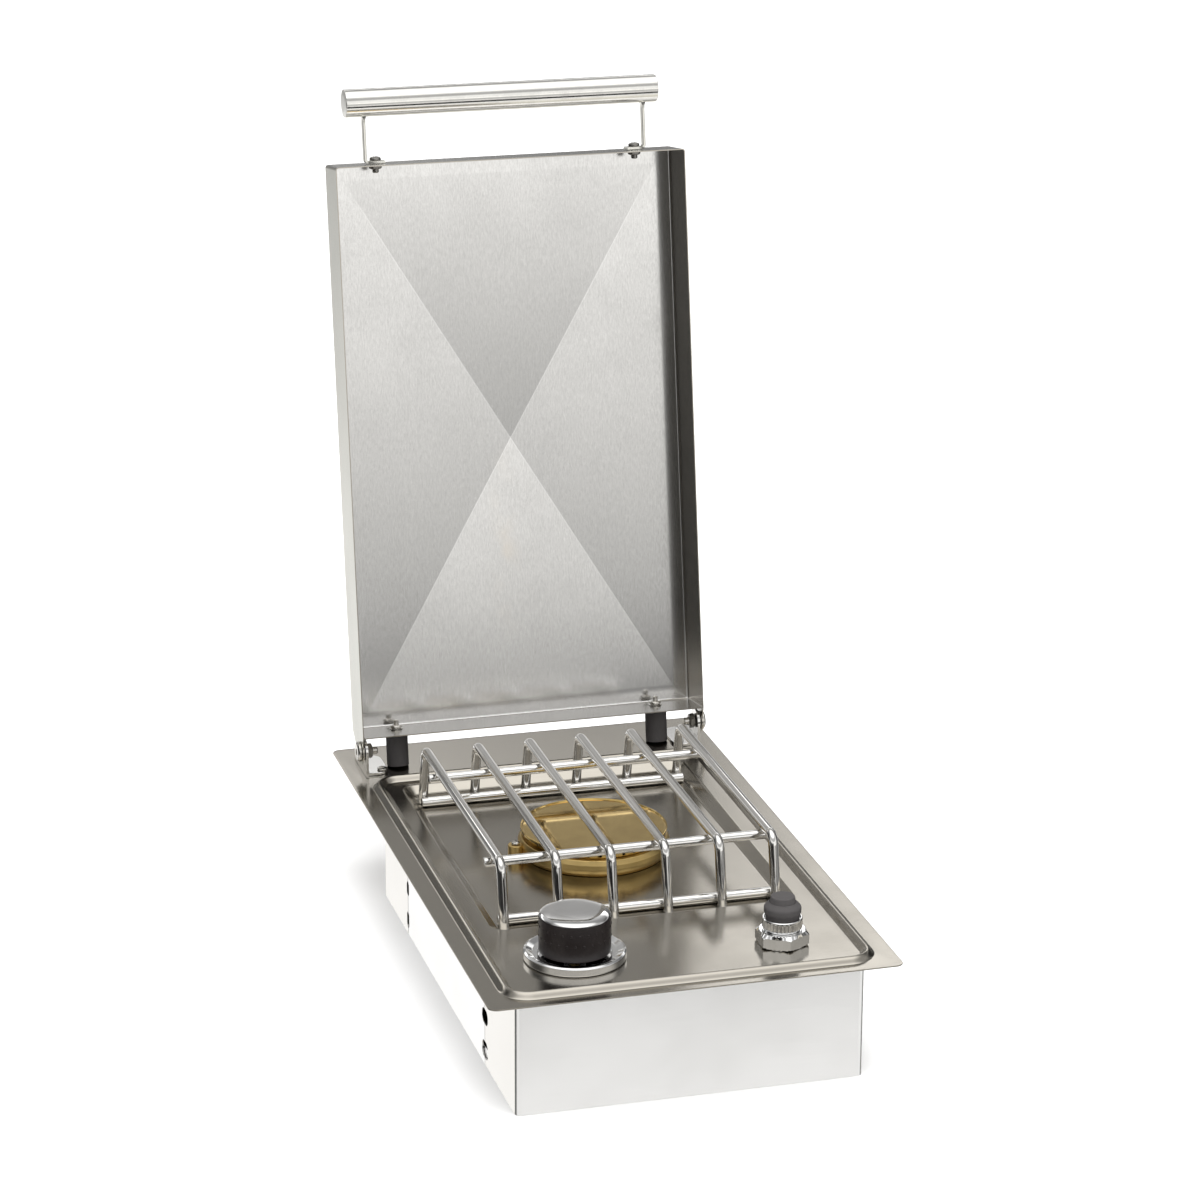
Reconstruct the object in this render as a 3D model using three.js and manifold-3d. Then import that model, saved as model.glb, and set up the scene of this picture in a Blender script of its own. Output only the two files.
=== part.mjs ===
// Built in side burner: a drop-in gas burner with a hinged lid, in millimetres, +Z up.
// The origin is the centre of the box's bottom face; -Y faces the cook and +X is the cook's right.
import * as THREE from 'three';
import { mergeVertices } from 'three/addons/utils/BufferGeometryUtils.js';
import Module from 'manifold-3d';

const wasm = await Module();
wasm.setup();

// Shared values
const sheet = 1.0; // stainless sheet of the top and the box
const gap = 0.3; // clearance between pieces that rest on each other
const slip = 0.3; // radial clearance round pins, screws and stems
const overrun = 4; // how far a cutting tool passes the face it cuts
const weld_tolerance = 0.0001; // points closer than this are one point
const round_sides = 36;
const middle_sides = 24;
const small_sides = 12;
const corner_steps = 4;
const bend_steps = 4;
const rod_sides = 10;

// Drop-in flange, bead and burner recess
const flange_width = 305;
const flange_depth = 524;
const flange_corner = 7;
const flange_side_overhang = 23.5;
const flange_front_overhang = 18.5;
const flange_rear_overhang = 87.5;
const bead_width = 11;
const bead_height = 4.5;
const bead_crest = 1.2;
const bead_side_margin = 13.5;
const bead_front_margin = 9.5;
const bead_rear_margin = 73;
const bead_corner = 22;
const bead_round_steps = 3;
const recess_beside_bead = 23;
const recess_depth = 6;
const recess_slope = 7.5;
const recess_floor_corner = 5;
const recess_behind_bead_front = 125;
const recess_ahead_of_bead_rear = 18.5;

// Burner box
const box_height = 91;
const box_bend = 2.2;
const front_wrap_return = 89;
const rear_wrap_return = 83;
const seam_gap = 0.5;
const front_slot_length = 19;
const rear_slot_length = 7;
const upper_slot_height = 12;
const lower_slot_height = 15;
const upper_slot_drop = 48;
const lower_slot_drop = 73;
const tray_rim = 12;
const air_slot_width = 10;
const air_slot_length = 60;
const air_slot_pitch = 34;
const air_slot_offset = 62;
const air_slots_per_side = 4;

// Lid
const lid_sheet = 0.8;
const lid_depth = 42;
const lid_side_clearance = 2;
const lid_front_margin = 1.5;
const lid_edge_height = 6.5;
const lid_dish = 2.4;
const lid_dish_margin = 14;
const hinge_behind_bead = 14.5;
const hinge_height = 19.5;
const pivot_setback = 12;
const lid_open_angle = 99;
const ear_radius = 10;
const ear_root = 28;
const pivot_radius = 3;

// Hinge brackets and their bolts
const bracket_sheet = 2;
const bracket_inset = 1.7;
const bracket_half_width = 10;
const bracket_foot_width = 20;
const bracket_foot_front = 6;
const bracket_foot_rear = 34;
const bracket_foot_rise = 6;
const bracket_foot_corner = 9;
const bracket_screw_inset = 15;
const pivot_head_radius = 8;
const pivot_head_height = 3;
const pivot_head_edge = 1.2;
const pivot_shoulder_radius = 7.5;
const pivot_nut_flats = 11;
const pivot_nut_height = 4.5;
const pivot_thread_end = 4;
const screw_radius = 2.1;
const screw_head_radius = 4;
const screw_head_height = 2.2;
const screw_head_edge = 0.8;
const screw_length = 9;

// Lid handle
const handle_radius = 11;
const handle_edge = 1;
const handle_end_inset = 14.5;
const handle_side_shift = -2;
const handle_reach = 47.7;
const handle_drop = 21;
const strap_side_inset = 28;
const strap_thickness = 2.2;
const strap_width = 6;
const strap_foot_length = 16;
const strap_foot_width = 12;
const strap_saddle_wrap = 3;
const handle_bolt_inset = 8;
const handle_bolt_radius = 2.5;
const handle_bolt_head_radius = 4.5;
const handle_bolt_head_height = 3;
const handle_nut_flats = 9;
const handle_nut_height = 3;
const handle_thread_end = 3;

// Lid bumpers
const bumper_side_inset = 33;
const bumper_radius = 8.75;
const bumper_edge = 1;
const bumper_depth_from_face = 15;
const bumper_bore_depth = 12;
const bumper_heel_relief = 12;
const stud_radius = 2;
const stud_nut_flats = 8;
const stud_nut_height = 3;
const stud_thread_end = 4;

// Cooking grate
const rod_radius = 3.75;
const grate_rods = 6;
const grate_top_height = 45.8;
const grate_side_clearance = 1;
const grate_front_clearance = 2.8;
const grate_rear_clearance = 13.7;
const leg_splay = 10;
const rod_bend = 9;
const upper_bar_front_setback = 23;
const upper_bar_rear_setback = 42;
const upper_bar_overhang = 3.5;
const lower_bar_overhang = 0.6;

// Burner
const burner_recess_share = 0.4866;
const throat_radius = 11;
const throat_wall = 2;
const throat_drop = 18;
const base_inner_radius = 49.7;
const base_wall = 8.3;
const base_foot_step = 3;
const base_top_step = 2;
const base_floor = 3;
const base_top = 7.6;
const cap_overhang = 0.2;
const cap_thickness = 2.5;
const cap_rim_width = 3;
const cap_rim_rise = 0.5;
const cap_edge = 0.7;
const port_band_height = 4.4;
const port_band_wall = 2.8;
const cap_lip_wall = 2.8;
const cap_lip_drop = 4.6;
const port_count = 36;
const port_radius = 1.3;
const port_sides = 6;
const lug_radius = 6;
const lug_reach = 3.5;
const lug_top = 5;
const rear_lug_angle = 68;
const base_screw_head_radius = 3.4;
const base_screw_head_height = 2.2;
const base_screw_radius = 2;
const base_screw_length = 18;

// Venturi, valve and gas line
const venturi_wall = 1.2;
const venturi_axis_drop = 52;
const venturi_bend = 22;
const venturi_end_from_valve = 38;
const shutter_wall = 1.2;
const shutter_lap = 20;
const shutter_window_length = 5;
const shutter_window_width = 9;
const valve_radius = 14;
const valve_drop = 66;
const valve_flange_radius = 19;
const valve_flange_thickness = 3;
const valve_boss_radius = 8;
const valve_boss_reach = 24;
const valve_inlet_drop = 34;
const valve_bore_drop = 44;
const collar_radius = 7.6;
const collar_height = 4;
const collar_start_drop = 3;
const collar_chamber_drop = 22;
const orifice_radius = 5;
const orifice_length = 9.5;
const orifice_bore = 1;
const stem_radius = 4;
const stem_flat = 1.2;
const stem_bottom_drop = 38;
const pipe_radius = 5;
const pipe_wall = 1;
const pipe_bend = 12;
const pipe_to_wall = 16;
const fitting_flange_radius = 10;
const fitting_flange_thickness = 2;
const fitting_body_radius = 7.5;
const fitting_body_length = 12;
const fitting_thread_radius = 6.5;
const fitting_thread_length = 22;
const fitting_cone = 2;
const locknut_flats = 19;
const locknut_height = 5;

// Knob
const knob_from_left_bead = 68;
const knob_from_front_bead = 65;
const knob_radius = 26;
const knob_bottom = 6;
const knob_top = 31.5;
const knob_edge = 0.8;
const knob_wall = 4;
const knob_roof = 7;
const knob_hub_radius = 8;
const knob_hub_bottom = 8;
const knob_bore_top = 22;
const knob_cap_radius = 25.9;
const knob_cap_thickness = 2.9;
const knob_cap_edge = 1.4;
const knob_cap_dome = 0.8;
const bezel_hole_radius = 12;
const bezel_foot_radius = 34.5;
const bezel_rim_radius = 36.6;
const bezel_rim_height = 6.6;
const bezel_rim_width = 1.4;
const bezel_floor_radius = 30;
const bezel_thickness = 1;

// Igniter
const igniter_from_right_bead = 59.1;
const igniter_from_front_bead = 51.6;
const igniter_nut_flats = 34.6;
const igniter_nut_height = 11;
const igniter_nut_chamfer = 2.6;
const igniter_nut_turn = 0;
const igniter_barrel_radius = 9.4;
const igniter_barrel_top = 14;
const igniter_above_floor = 31;
const igniter_flange_radius = 11;
const igniter_flange_thickness = 3;
const terminal_radius = 3;
const terminal_length = 8;
const collar_neck_radius = 13;
const collar_neck_top = 12.3;
const knurl_top = 20.3;
const knurl_radius = 15;
const knurl_tooth = 0.8;
const knurl_teeth = 36;
const boot_bulge_radius = 13.5;
const boot_bulge_height = 26.6;
const boot_bulge_half = 4.4;
const boot_neck_radius = 11.6;
const boot_top = 31.8;
const button_radius = 9.2;
const button_top = 36.4;
const button_edge = 1.5;
const button_bottom = 18.5;

// Electrode and ignition lead
const electrode_angle = 108;
const electrode_beside_base = 8;
const ceramic_radius = 3.5;
const ceramic_top = 6;
const ceramic_drop = 22;
const ceramic_shoulder_radius = 6;
const ceramic_shoulder_height = 2.4;
const spark_radius = 1;
const spark_height = 9.8;
const spark_bend = 3;
const spark_reach = 10;
const lead_radius = 2.5;
const lead_bend = 12;
const lead_wall_margin = 37;
const lead_sides = 8;

// Places that follow from the sizes above
const pan_top = box_height + sheet;
const box_width = flange_width - 2 * flange_side_overhang;
const box_depth = flange_depth - flange_front_overhang - flange_rear_overhang;
const flange_front_y = -box_depth / 2 - flange_front_overhang;
const flange_centre_y = flange_front_y + flange_depth / 2;
const bead_outer_width = flange_width - 2 * bead_side_margin;
const bead_outer_depth = flange_depth - bead_front_margin - bead_rear_margin;
const bead_front_y = flange_front_y + bead_front_margin;
const bead_rear_y = bead_front_y + bead_outer_depth;
const bead_centre_y = (bead_front_y + bead_rear_y) / 2;
const recess_front_y = bead_front_y + recess_behind_bead_front;
const recess_rear_y = bead_rear_y - recess_ahead_of_bead_rear;
const recess_centre_y = (recess_front_y + recess_rear_y) / 2;
const recess_length = recess_rear_y - recess_front_y;
const recess_floor_width = bead_outer_width - 2 * (recess_beside_bead + recess_slope);
const recess_floor_depth = recess_length - 2 * recess_slope;
const floor_z = -recess_depth; // heights below are measured from the top face of the pan
const knob_x = -bead_outer_width / 2 + knob_from_left_bead;
const knob_y = bead_front_y + knob_from_front_bead;
const igniter_x = bead_outer_width / 2 - igniter_from_right_bead;
const igniter_y = bead_front_y + igniter_from_front_bead;
const burner_y = recess_front_y + burner_recess_share * recess_length;
const base_radius = base_inner_radius + base_wall;
const base_foot_radius = base_radius - base_foot_step;
const base_top_radius = base_radius - base_top_step;
const cap_radius = base_top_radius + cap_overhang;
const port_band_radius = base_inner_radius + port_band_wall;
const lug_centre_radius = base_radius + lug_reach;
const igniter_body_drop = box_height - igniter_above_floor;
const electrode_radius_from_burner = base_radius + electrode_beside_base;
const electrode_x = electrode_radius_from_burner * Math.cos(THREE.MathUtils.degToRad(electrode_angle));
const electrode_y = burner_y
  + electrode_radius_from_burner * Math.sin(THREE.MathUtils.degToRad(electrode_angle));
const hinge_y = bead_rear_y + hinge_behind_bead;
const lid_width = bead_outer_width + 2 * lid_side_clearance;
const strap_offset = lid_width / 2 - strap_side_inset;
const bumper_offset = lid_width / 2 - bumper_side_inset;
const lid_rear = -pivot_setback;
const lid_front = flange_front_y + lid_front_margin - hinge_y;
const lid_length = lid_rear - lid_front;
const lid_face = lid_edge_height + lid_depth - hinge_height;
const lid_edge = lid_face - lid_depth;
const bracket_outer_x = lid_width / 2 - lid_sheet - bracket_inset;
const bracket_inner_x = bracket_outer_x - bracket_sheet;

// Materials
function finish(color, roughness, metalness) {
  return new THREE.MeshStandardMaterial({ color, roughness, metalness });
}
const satin_steel = finish(0xb9b4aa, 0.32, 1);
const bright_steel = finish(0xe4e4e2, 0.28, 1);
const polished_steel = finish(0xdcdcda, 0.12, 1);
const chrome = finish(0xd9dbde, 0.06, 1);
const brass = finish(0xb08d4a, 0.3, 1);
const cast_alloy = finish(0x9b9c9d, 0.5, 1);
const black_rubber = finish(0x1d1b1b, 0.75, 0);
const black_plastic = finish(0x1c191b, 0.5, 0);
const ceramic_white = finish(0xe9e4d8, 0.4, 0);
const lead_red = finish(0x7c1f1a, 0.6, 0);

// Solids and booleans
function solidOf(geometry) {
  const copy = geometry.clone();
  copy.deleteAttribute('normal');
  copy.deleteAttribute('uv');
  const merged = mergeVertices(copy, weld_tolerance);
  return new wasm.Manifold(new wasm.Mesh({
    numProp: 3,
    vertProperties: new Float32Array(merged.attributes.position.array),
    triVerts: new Uint32Array(merged.index.array),
  }));
}

function geometryOf(solid) {
  const mesh = solid.getMesh();
  const geometry = new THREE.BufferGeometry();
  geometry.setAttribute('position', new THREE.BufferAttribute(mesh.vertProperties, 3));
  geometry.setIndex(new THREE.BufferAttribute(mesh.triVerts, 1));
  geometry.computeVertexNormals();
  return geometry;
}

function joined(geometries) {
  return geometries.map(solidOf).reduce((whole, piece) => whole.add(piece));
}

function cut(solid, tools) {
  return tools.map(solidOf).reduce((whole, tool) => whole.subtract(tool), solid);
}

// Plain forms, each with its axis or thickness along Z
function block(width, depth, height) {
  return new THREE.BoxGeometry(width, depth, height);
}

function cylinder(radius, bottom, top, sides = small_sides) {
  return new THREE.CylinderGeometry(radius, radius, top - bottom, sides)
    .rotateX(Math.PI / 2)
    .translate(0, 0, (top + bottom) / 2);
}

function hexagon(flats, bottom, top) {
  return cylinder(flats / Math.sqrt(3), bottom, top, 6);
}

// A turned piece: profile is a list of [radius, height] points, anticlockwise or clockwise
function turned(profile, sides = round_sides) {
  const area = profile.reduce((sum, [radius, height], index) => {
    const [nextRadius, nextHeight] = profile[(index + 1) % profile.length];
    return sum + radius * nextHeight - nextRadius * height;
  }, 0);
  const ordered = area > 0 ? profile : [...profile].reverse();
  const closesOnAxis = ordered[0][0] === 0 && ordered[ordered.length - 1][0] === 0;
  const points = ordered.map(([radius, height]) => new THREE.Vector2(radius, height));
  if (!closesOnAxis) points.push(points[0].clone());
  return new THREE.LatheGeometry(points, sides).rotateX(Math.PI / 2);
}

function roundedRectangle(width, depth, corner) {
  const shape = new THREE.Shape();
  const x = width / 2 - corner;
  const y = depth / 2 - corner;
  shape.absarc(x, y, corner, 0, Math.PI / 2);
  shape.absarc(-x, y, corner, Math.PI / 2, Math.PI);
  shape.absarc(-x, -y, corner, Math.PI, 1.5 * Math.PI);
  shape.absarc(x, -y, corner, 1.5 * Math.PI, 2 * Math.PI);
  return shape;
}

function plate(shape, thickness, curveSegments = corner_steps) {
  return new THREE.ExtrudeGeometry(shape, { depth: thickness, bevelEnabled: false, curveSegments });
}

// A plate in the YZ plane, its thickness running from x = 0 towards +X
function sidePlate(shape, thickness) {
  return plate(shape, thickness).rotateZ(Math.PI / 2).rotateY(Math.PI / 2);
}

// A line through fixed points, stepped point by point
class PointLine extends THREE.Curve {
  constructor(points) {
    super();
    this.points = points;
  }

  getPoint(t, target = new THREE.Vector3()) {
    const place = t * (this.points.length - 1);
    const index = Math.min(Math.floor(place), this.points.length - 2);
    return target.lerpVectors(this.points[index], this.points[index + 1], place - index);
  }

  getTangent(t, target = new THREE.Vector3()) {
    const index = Math.round(t * (this.points.length - 1));
    const here = this.points[index];
    const before = this.points[Math.max(index - 1, 0)];
    const after = this.points[Math.min(index + 1, this.points.length - 1)];
    const arriving = here.clone().sub(before).normalize();
    const leaving = after.clone().sub(here).normalize();
    return target.copy(arriving).add(leaving).normalize();
  }

  getUtoTmapping(u) {
    return u;
  }
}

// The corner points of a bent rod or pipe with each inner corner rounded to the bend radius
function bentPoints(corners, bendRadius, steps = bend_steps) {
  const points = [corners[0]];
  for (let i = 1; i < corners.length - 1; i += 1) {
    const before = corners[i - 1].clone().sub(corners[i]).normalize();
    const after = corners[i + 1].clone().sub(corners[i]).normalize();
    const turn = Math.PI - before.angleTo(after);
    const setback = bendRadius * Math.tan(turn / 2);
    const centre = before.clone().add(after).normalize()
      .multiplyScalar(bendRadius / Math.cos(turn / 2)).add(corners[i]);
    const start = corners[i].clone().addScaledVector(before, setback).sub(centre);
    const axis = after.clone().cross(before).normalize();
    for (let k = 0; k <= steps; k += 1) {
      points.push(start.clone().applyAxisAngle(axis, (turn * k) / steps).add(centre));
    }
  }
  points.push(corners[corners.length - 1]);
  return points;
}

function tubeAlong(points, radius, sides = rod_sides) {
  const section = new THREE.Shape();
  section.absarc(0, 0, radius, 0, 2 * Math.PI);
  return new THREE.ExtrudeGeometry(section, {
    steps: points.length - 1,
    curveSegments: sides / 2,
    extrudePath: new PointLine(points),
  });
}

function lengthened(points, extra) {
  const first = points[0].clone().sub(points[1]).normalize().multiplyScalar(extra).add(points[0]);
  const end = points[points.length - 1];
  const last = end.clone().sub(points[points.length - 2]).normalize().multiplyScalar(extra).add(end);
  return [first, ...points.slice(1, -1), last];
}

function hollowTube(points, radius, wall, sides) {
  const bore = tubeAlong(lengthened(points, overrun), radius - wall, sides);
  return cut(solidOf(tubeAlong(points, radius, sides)), [bore]);
}

// A pan-head screw with its seat at z = 0 and its shank running down
function screw(headRadius, headHeight, shankRadius, length) {
  return turned([
    [0, -length], [shankRadius, -length], [shankRadius, 0], [headRadius, 0],
    [headRadius, headHeight - screw_head_edge], [headRadius - screw_head_edge, headHeight], [0, headHeight],
  ], small_sides);
}

function nut(flats, height, holeRadius) {
  return cut(solidOf(hexagon(flats, 0, height)), [cylinder(holeRadius, -overrun, height + overrun)]);
}

// The scene graph
const side_burner = new THREE.Group();
side_burner.name = 'built_in_side_burner';
const top_group = new THREE.Group();
top_group.position.z = pan_top;
const lid_group = new THREE.Group();
lid_group.position.set(0, hinge_y, hinge_height);
lid_group.rotation.x = THREE.MathUtils.degToRad(-lid_open_angle);
top_group.add(lid_group);
side_burner.add(top_group);

function add(group, name, shape, material, x = 0, y = 0, z = 0) {
  const geometry = shape.isBufferGeometry ? shape : geometryOf(shape);
  const mesh = new THREE.Mesh(geometry, material);
  mesh.name = name;
  mesh.position.set(x, y, z);
  group.add(mesh);
  return mesh;
}

const sides = [['left', -1], ['right', 1]];

// Drawn top: flange, raised bead, sloped recess and the holes of everything that passes through
function beadRing(halfSpread, bottom) {
  const line_width = bead_outer_width - bead_width;
  const line_depth = bead_outer_depth - bead_width;
  const line_corner = bead_corner - bead_width / 2;
  const crest = roundedRectangle(line_width + bead_crest, line_depth + bead_crest, line_corner + bead_crest / 2);
  crest.holes.push(roundedRectangle(
    line_width - bead_crest, line_depth - bead_crest, line_corner - bead_crest / 2));
  return new THREE.ExtrudeGeometry(crest, {
    depth: sheet,
    bevelThickness: bead_height,
    bevelSize: halfSpread - bead_crest / 2,
    bevelSegments: bead_round_steps,
    curveSegments: corner_steps,
  }).translate(0, bead_centre_y, bottom);
}

function recessForm(spread, bottom) {
  const floor = roundedRectangle(recess_floor_width, recess_floor_depth, recess_floor_corner);
  return new THREE.ExtrudeGeometry(floor, {
    depth: overrun,
    bevelThickness: recess_depth,
    bevelSize: recess_slope,
    bevelOffset: spread,
    bevelSegments: 1,
    curveSegments: corner_steps,
  }).translate(0, recess_centre_y, bottom);
}

function burnerPan() {
  const span = flange_width + flange_depth;
  const flange = plate(roundedRectangle(flange_width, flange_depth, flange_corner), sheet)
    .translate(0, flange_centre_y, -sheet);
  const below = block(span, span, span).translate(0, flange_centre_y, -sheet - span / 2);
  const above = block(span, span, span).translate(0, flange_centre_y, span / 2);
  const bead = cut(solidOf(beadRing(bead_width / 2, -sheet)), [below]);
  const tub = cut(solidOf(recessForm(sheet, -sheet)), [above]);
  const holes = [
    beadRing(bead_width / 2 - sheet, -2 * sheet),
    recessForm(0, 0),
    cylinder(stem_radius + 2 * slip, -overrun, overrun).translate(knob_x, knob_y, 0),
    cylinder(igniter_barrel_radius + slip, -overrun, overrun, middle_sides)
      .translate(igniter_x, igniter_y, 0),
    cylinder(throat_radius + slip, floor_z - overrun, 0, middle_sides).translate(0, burner_y, 0),
    cylinder(ceramic_radius + slip, floor_z - overrun, 0).translate(electrode_x, electrode_y, 0),
  ];
  for (const [lugX, lugY] of lugPlaces()) {
    holes.push(cylinder(base_screw_radius + slip, floor_z - overrun, 0).translate(lugX, lugY, 0));
  }
  for (const [, side] of sides) {
    holes.push(cylinder(screw_radius + slip, -overrun, overrun)
      .translate(side * (bracket_outer_x - bracket_screw_inset), hinge_y, 0));
  }
  return cut(solidOf(flange).add(bead).add(tub), holes);
}

function lugPlaces() {
  const rear = THREE.MathUtils.degToRad(rear_lug_angle);
  return [
    [-lug_centre_radius, burner_y],
    [lug_centre_radius * Math.cos(rear), burner_y + lug_centre_radius * Math.sin(rear)],
  ];
}

add(top_group, 'burner_pan', burnerPan(), satin_steel);

// Box panels
const wall_height = box_height - gap;

// A wrap is a panel with two side returns: face is the Y of its outer face, end that of its free edges
function wrapShape(face, end) {
  const way = Math.sign(end - face);
  const half = box_width / 2;
  const inner = half - sheet;
  const inner_bend = box_bend - sheet;
  const points = [
    [-half, end], [-half, face + way * box_bend], [-half + box_bend, face],
    [half - box_bend, face], [half, face + way * box_bend], [half, end],
    [inner, end], [inner, face + way * (sheet + inner_bend)], [inner - inner_bend, face + way * sheet],
    [-inner + inner_bend, face + way * sheet], [-inner, face + way * (sheet + inner_bend)], [-inner, end],
  ];
  return new THREE.Shape(points.map(([x, y]) => new THREE.Vector2(x, y)));
}

// Slots through both side walls, centred on a seam
function seamSlots(seam, length) {
  const slots = [];
  for (const [, side] of sides) {
    for (const [drop, height] of [[upper_slot_drop, upper_slot_height], [lower_slot_drop, lower_slot_height]]) {
      slots.push(block(2 * overrun, length, height)
        .translate(side * box_width / 2, seam, pan_top - drop - height / 2));
    }
  }
  return slots;
}

const front_face = -box_depth / 2;
const rear_face = box_depth / 2;
const front_seam = front_face + front_wrap_return;
const rear_seam = rear_face - rear_wrap_return;
const inlet_x = -box_width / 2 + pipe_to_wall;
const inlet_z = pan_top - valve_inlet_drop;
const front_slots = seamSlots(front_seam, front_slot_length);
const rear_slots = seamSlots(rear_seam, rear_slot_length);
const front_wrap = cut(solidOf(plate(wrapShape(front_face, front_seam), wall_height)), front_slots);
const inlet_hole = cylinder(fitting_thread_radius + slip, -overrun, overrun)
  .rotateX(Math.PI / 2).translate(inlet_x, rear_face, inlet_z);
const rear_wrap = cut(solidOf(plate(wrapShape(rear_face, rear_seam), wall_height)), [...rear_slots, inlet_hole]);
add(side_burner, 'box_front_wrap', front_wrap, bright_steel);
add(side_burner, 'box_rear_wrap', rear_wrap, bright_steel);
const side_panel_depth = rear_seam - front_seam - 2 * seam_gap;
for (const [name, side] of sides) {
  const panel = block(sheet, side_panel_depth, wall_height)
    .translate(side * (box_width - sheet) / 2, (front_seam + rear_seam) / 2, wall_height / 2);
  add(side_burner, `box_side_${name}`, cut(solidOf(panel), [...front_slots, ...rear_slots]), bright_steel);
}

function bottomPlate() {
  const width = box_width - 2 * (sheet + gap);
  const depth = box_depth - 2 * (sheet + gap);
  const tools = [plate(roundedRectangle(width - 2 * sheet, depth - 2 * sheet, box_bend), tray_rim)
    .translate(0, 0, sheet)];
  for (const [, side] of sides) {
    for (let index = 0; index < air_slots_per_side; index += 1) {
      const y = (index - (air_slots_per_side - 1) / 2) * air_slot_pitch;
      tools.push(block(air_slot_length, air_slot_width, 2 * overrun).translate(side * air_slot_offset, y, 0));
    }
  }
  return cut(solidOf(plate(roundedRectangle(width, depth, box_bend + sheet), tray_rim)), tools);
}

add(side_burner, 'bottom_plate', bottomPlate(), bright_steel);

// Lid, drawn round the hinge axis as if closed: -Y runs to its front edge and +Z to its face
function dishForm(width, depth, rise) {
  return new THREE.ConeGeometry(Math.SQRT2, 1, 4, 1, false, Math.PI / 4)
    .rotateX(Math.PI / 2).translate(0, 0, 1 / 2).scale(width / 2, depth / 2, rise);
}

function earShape() {
  const shape = new THREE.Shape();
  const lean = Math.asin(ear_radius / Math.hypot(lid_rear, lid_face));
  const bearing = Math.atan2(lid_face, lid_rear) - Math.PI / 2 + lean;
  shape.moveTo(lid_rear - ear_root, lid_edge);
  shape.lineTo(lid_rear, lid_edge);
  shape.absarc(0, 0, ear_radius, -Math.PI / 2 - lean, bearing);
  shape.lineTo(lid_rear, lid_face);
  shape.lineTo(lid_rear - ear_root, lid_face);
  return shape;
}

function lidPanel() {
  const middle = (lid_front + lid_rear) / 2;
  const dish_width = lid_width - 2 * lid_dish_margin;
  const dish_length = lid_length - 2 * lid_dish_margin;
  const tray = solidOf(block(lid_width, lid_length, lid_depth).translate(0, middle, lid_face - lid_depth / 2))
    .add(solidOf(dishForm(dish_width, dish_length, lid_dish).translate(0, middle, lid_face)));
  const hollow_depth = lid_depth + overrun - lid_sheet;
  const tools = [
    block(lid_width - 2 * lid_sheet, lid_length - 2 * lid_sheet, hollow_depth)
      .translate(0, middle, lid_face - lid_sheet - hollow_depth / 2),
    dishForm(dish_width, dish_length, lid_dish).translate(0, middle, lid_face - lid_sheet),
  ];
  for (const [, side] of sides) {
    tools.push(cylinder(handle_bolt_radius + slip, -overrun, overrun).rotateX(Math.PI / 2)
      .translate(side * (strap_offset - handle_bolt_inset), lid_front, lid_face - handle_drop));
    tools.push(cylinder(stud_radius + slip, -overrun, overrun).rotateX(Math.PI / 2)
      .translate(side * bumper_offset, lid_rear, lid_face - bumper_depth_from_face));
  }
  const ears = sides.map(([, side]) => sidePlate(earShape(), lid_sheet)
    .translate(side > 0 ? lid_width / 2 - lid_sheet : -lid_width / 2, 0, 0));
  const pivots = sides.map(([, side]) => cylinder(pivot_radius + slip, -overrun, overrun)
    .rotateY(Math.PI / 2).translate(side * lid_width / 2, 0, 0));
  return cut(cut(tray, tools).add(joined(ears)), pivots);
}

add(lid_group, 'lid_panel', lidPanel(), satin_steel);

// Handle bar on two straps bolted to the front skirt
const handle_y = lid_front - handle_reach;
const handle_z = lid_face - handle_drop;

function handleBar() {
  const half = lid_width / 2 - handle_end_inset;
  return turned([
    [0, -half], [handle_radius - handle_edge, -half], [handle_radius, handle_edge - half],
    [handle_radius, half - handle_edge], [handle_radius - handle_edge, half], [0, half],
  ]).rotateY(Math.PI / 2);
}

function handleStrap(side) {
  const reach = handle_reach - handle_radius + strap_saddle_wrap;
  const upright = block(strap_thickness, reach - gap, strap_width)
    .translate(0, -gap - (reach - gap) / 2, 0);
  const foot = block(strap_foot_length, strap_thickness, strap_foot_width)
    .translate(-side * (strap_foot_length - strap_thickness) / 2, -gap - strap_thickness / 2, 0);
  const saddle = cylinder(handle_radius + gap, -overrun, overrun, middle_sides)
    .rotateY(Math.PI / 2).translate(0, -handle_reach, 0);
  const bolt = cylinder(handle_bolt_radius + slip, -2 * overrun, overrun)
    .rotateX(Math.PI / 2).translate(-side * handle_bolt_inset, 0, 0);
  return cut(joined([upright, foot]), [saddle, bolt]);
}

add(lid_group, 'handle_bar', handleBar(), polished_steel, handle_side_shift, handle_y, handle_z);
for (const [name, side] of sides) {
  const bolt_x = side * (strap_offset - handle_bolt_inset);
  const grip = strap_thickness + gap;
  const shank = 2 * gap + strap_thickness + lid_sheet + gap + handle_nut_height + handle_thread_end;
  add(lid_group, `handle_strap_${name}`, handleStrap(side), polished_steel,
    side * strap_offset, lid_front, handle_z);
  add(lid_group, `handle_bolt_${name}`,
    screw(handle_bolt_head_radius, handle_bolt_head_height, handle_bolt_radius, shank).rotateX(Math.PI / 2),
    polished_steel, bolt_x, lid_front - grip - gap, handle_z);
  add(lid_group, `handle_nut_${name}`,
    geometryOf(nut(handle_nut_flats, handle_nut_height, handle_bolt_radius + slip)).rotateX(-Math.PI / 2),
    polished_steel, bolt_x, lid_front + lid_sheet + gap, handle_z);
}

// Rubber bumpers: their slanted ends lie flat on the flange when the lid is open, and a relief
// on the front half keeps that edge off the flange as the lid swings
const open_angle = THREE.MathUtils.degToRad(lid_open_angle);
const bumper_z = lid_face - bumper_depth_from_face;
const bumper_lean = open_angle - Math.PI / 2;
const bumper_root_height = hinge_height - lid_rear * Math.sin(open_angle) + bumper_z * Math.cos(open_angle);
const bumper_length = (bumper_root_height - gap) / Math.cos(bumper_lean);

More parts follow.
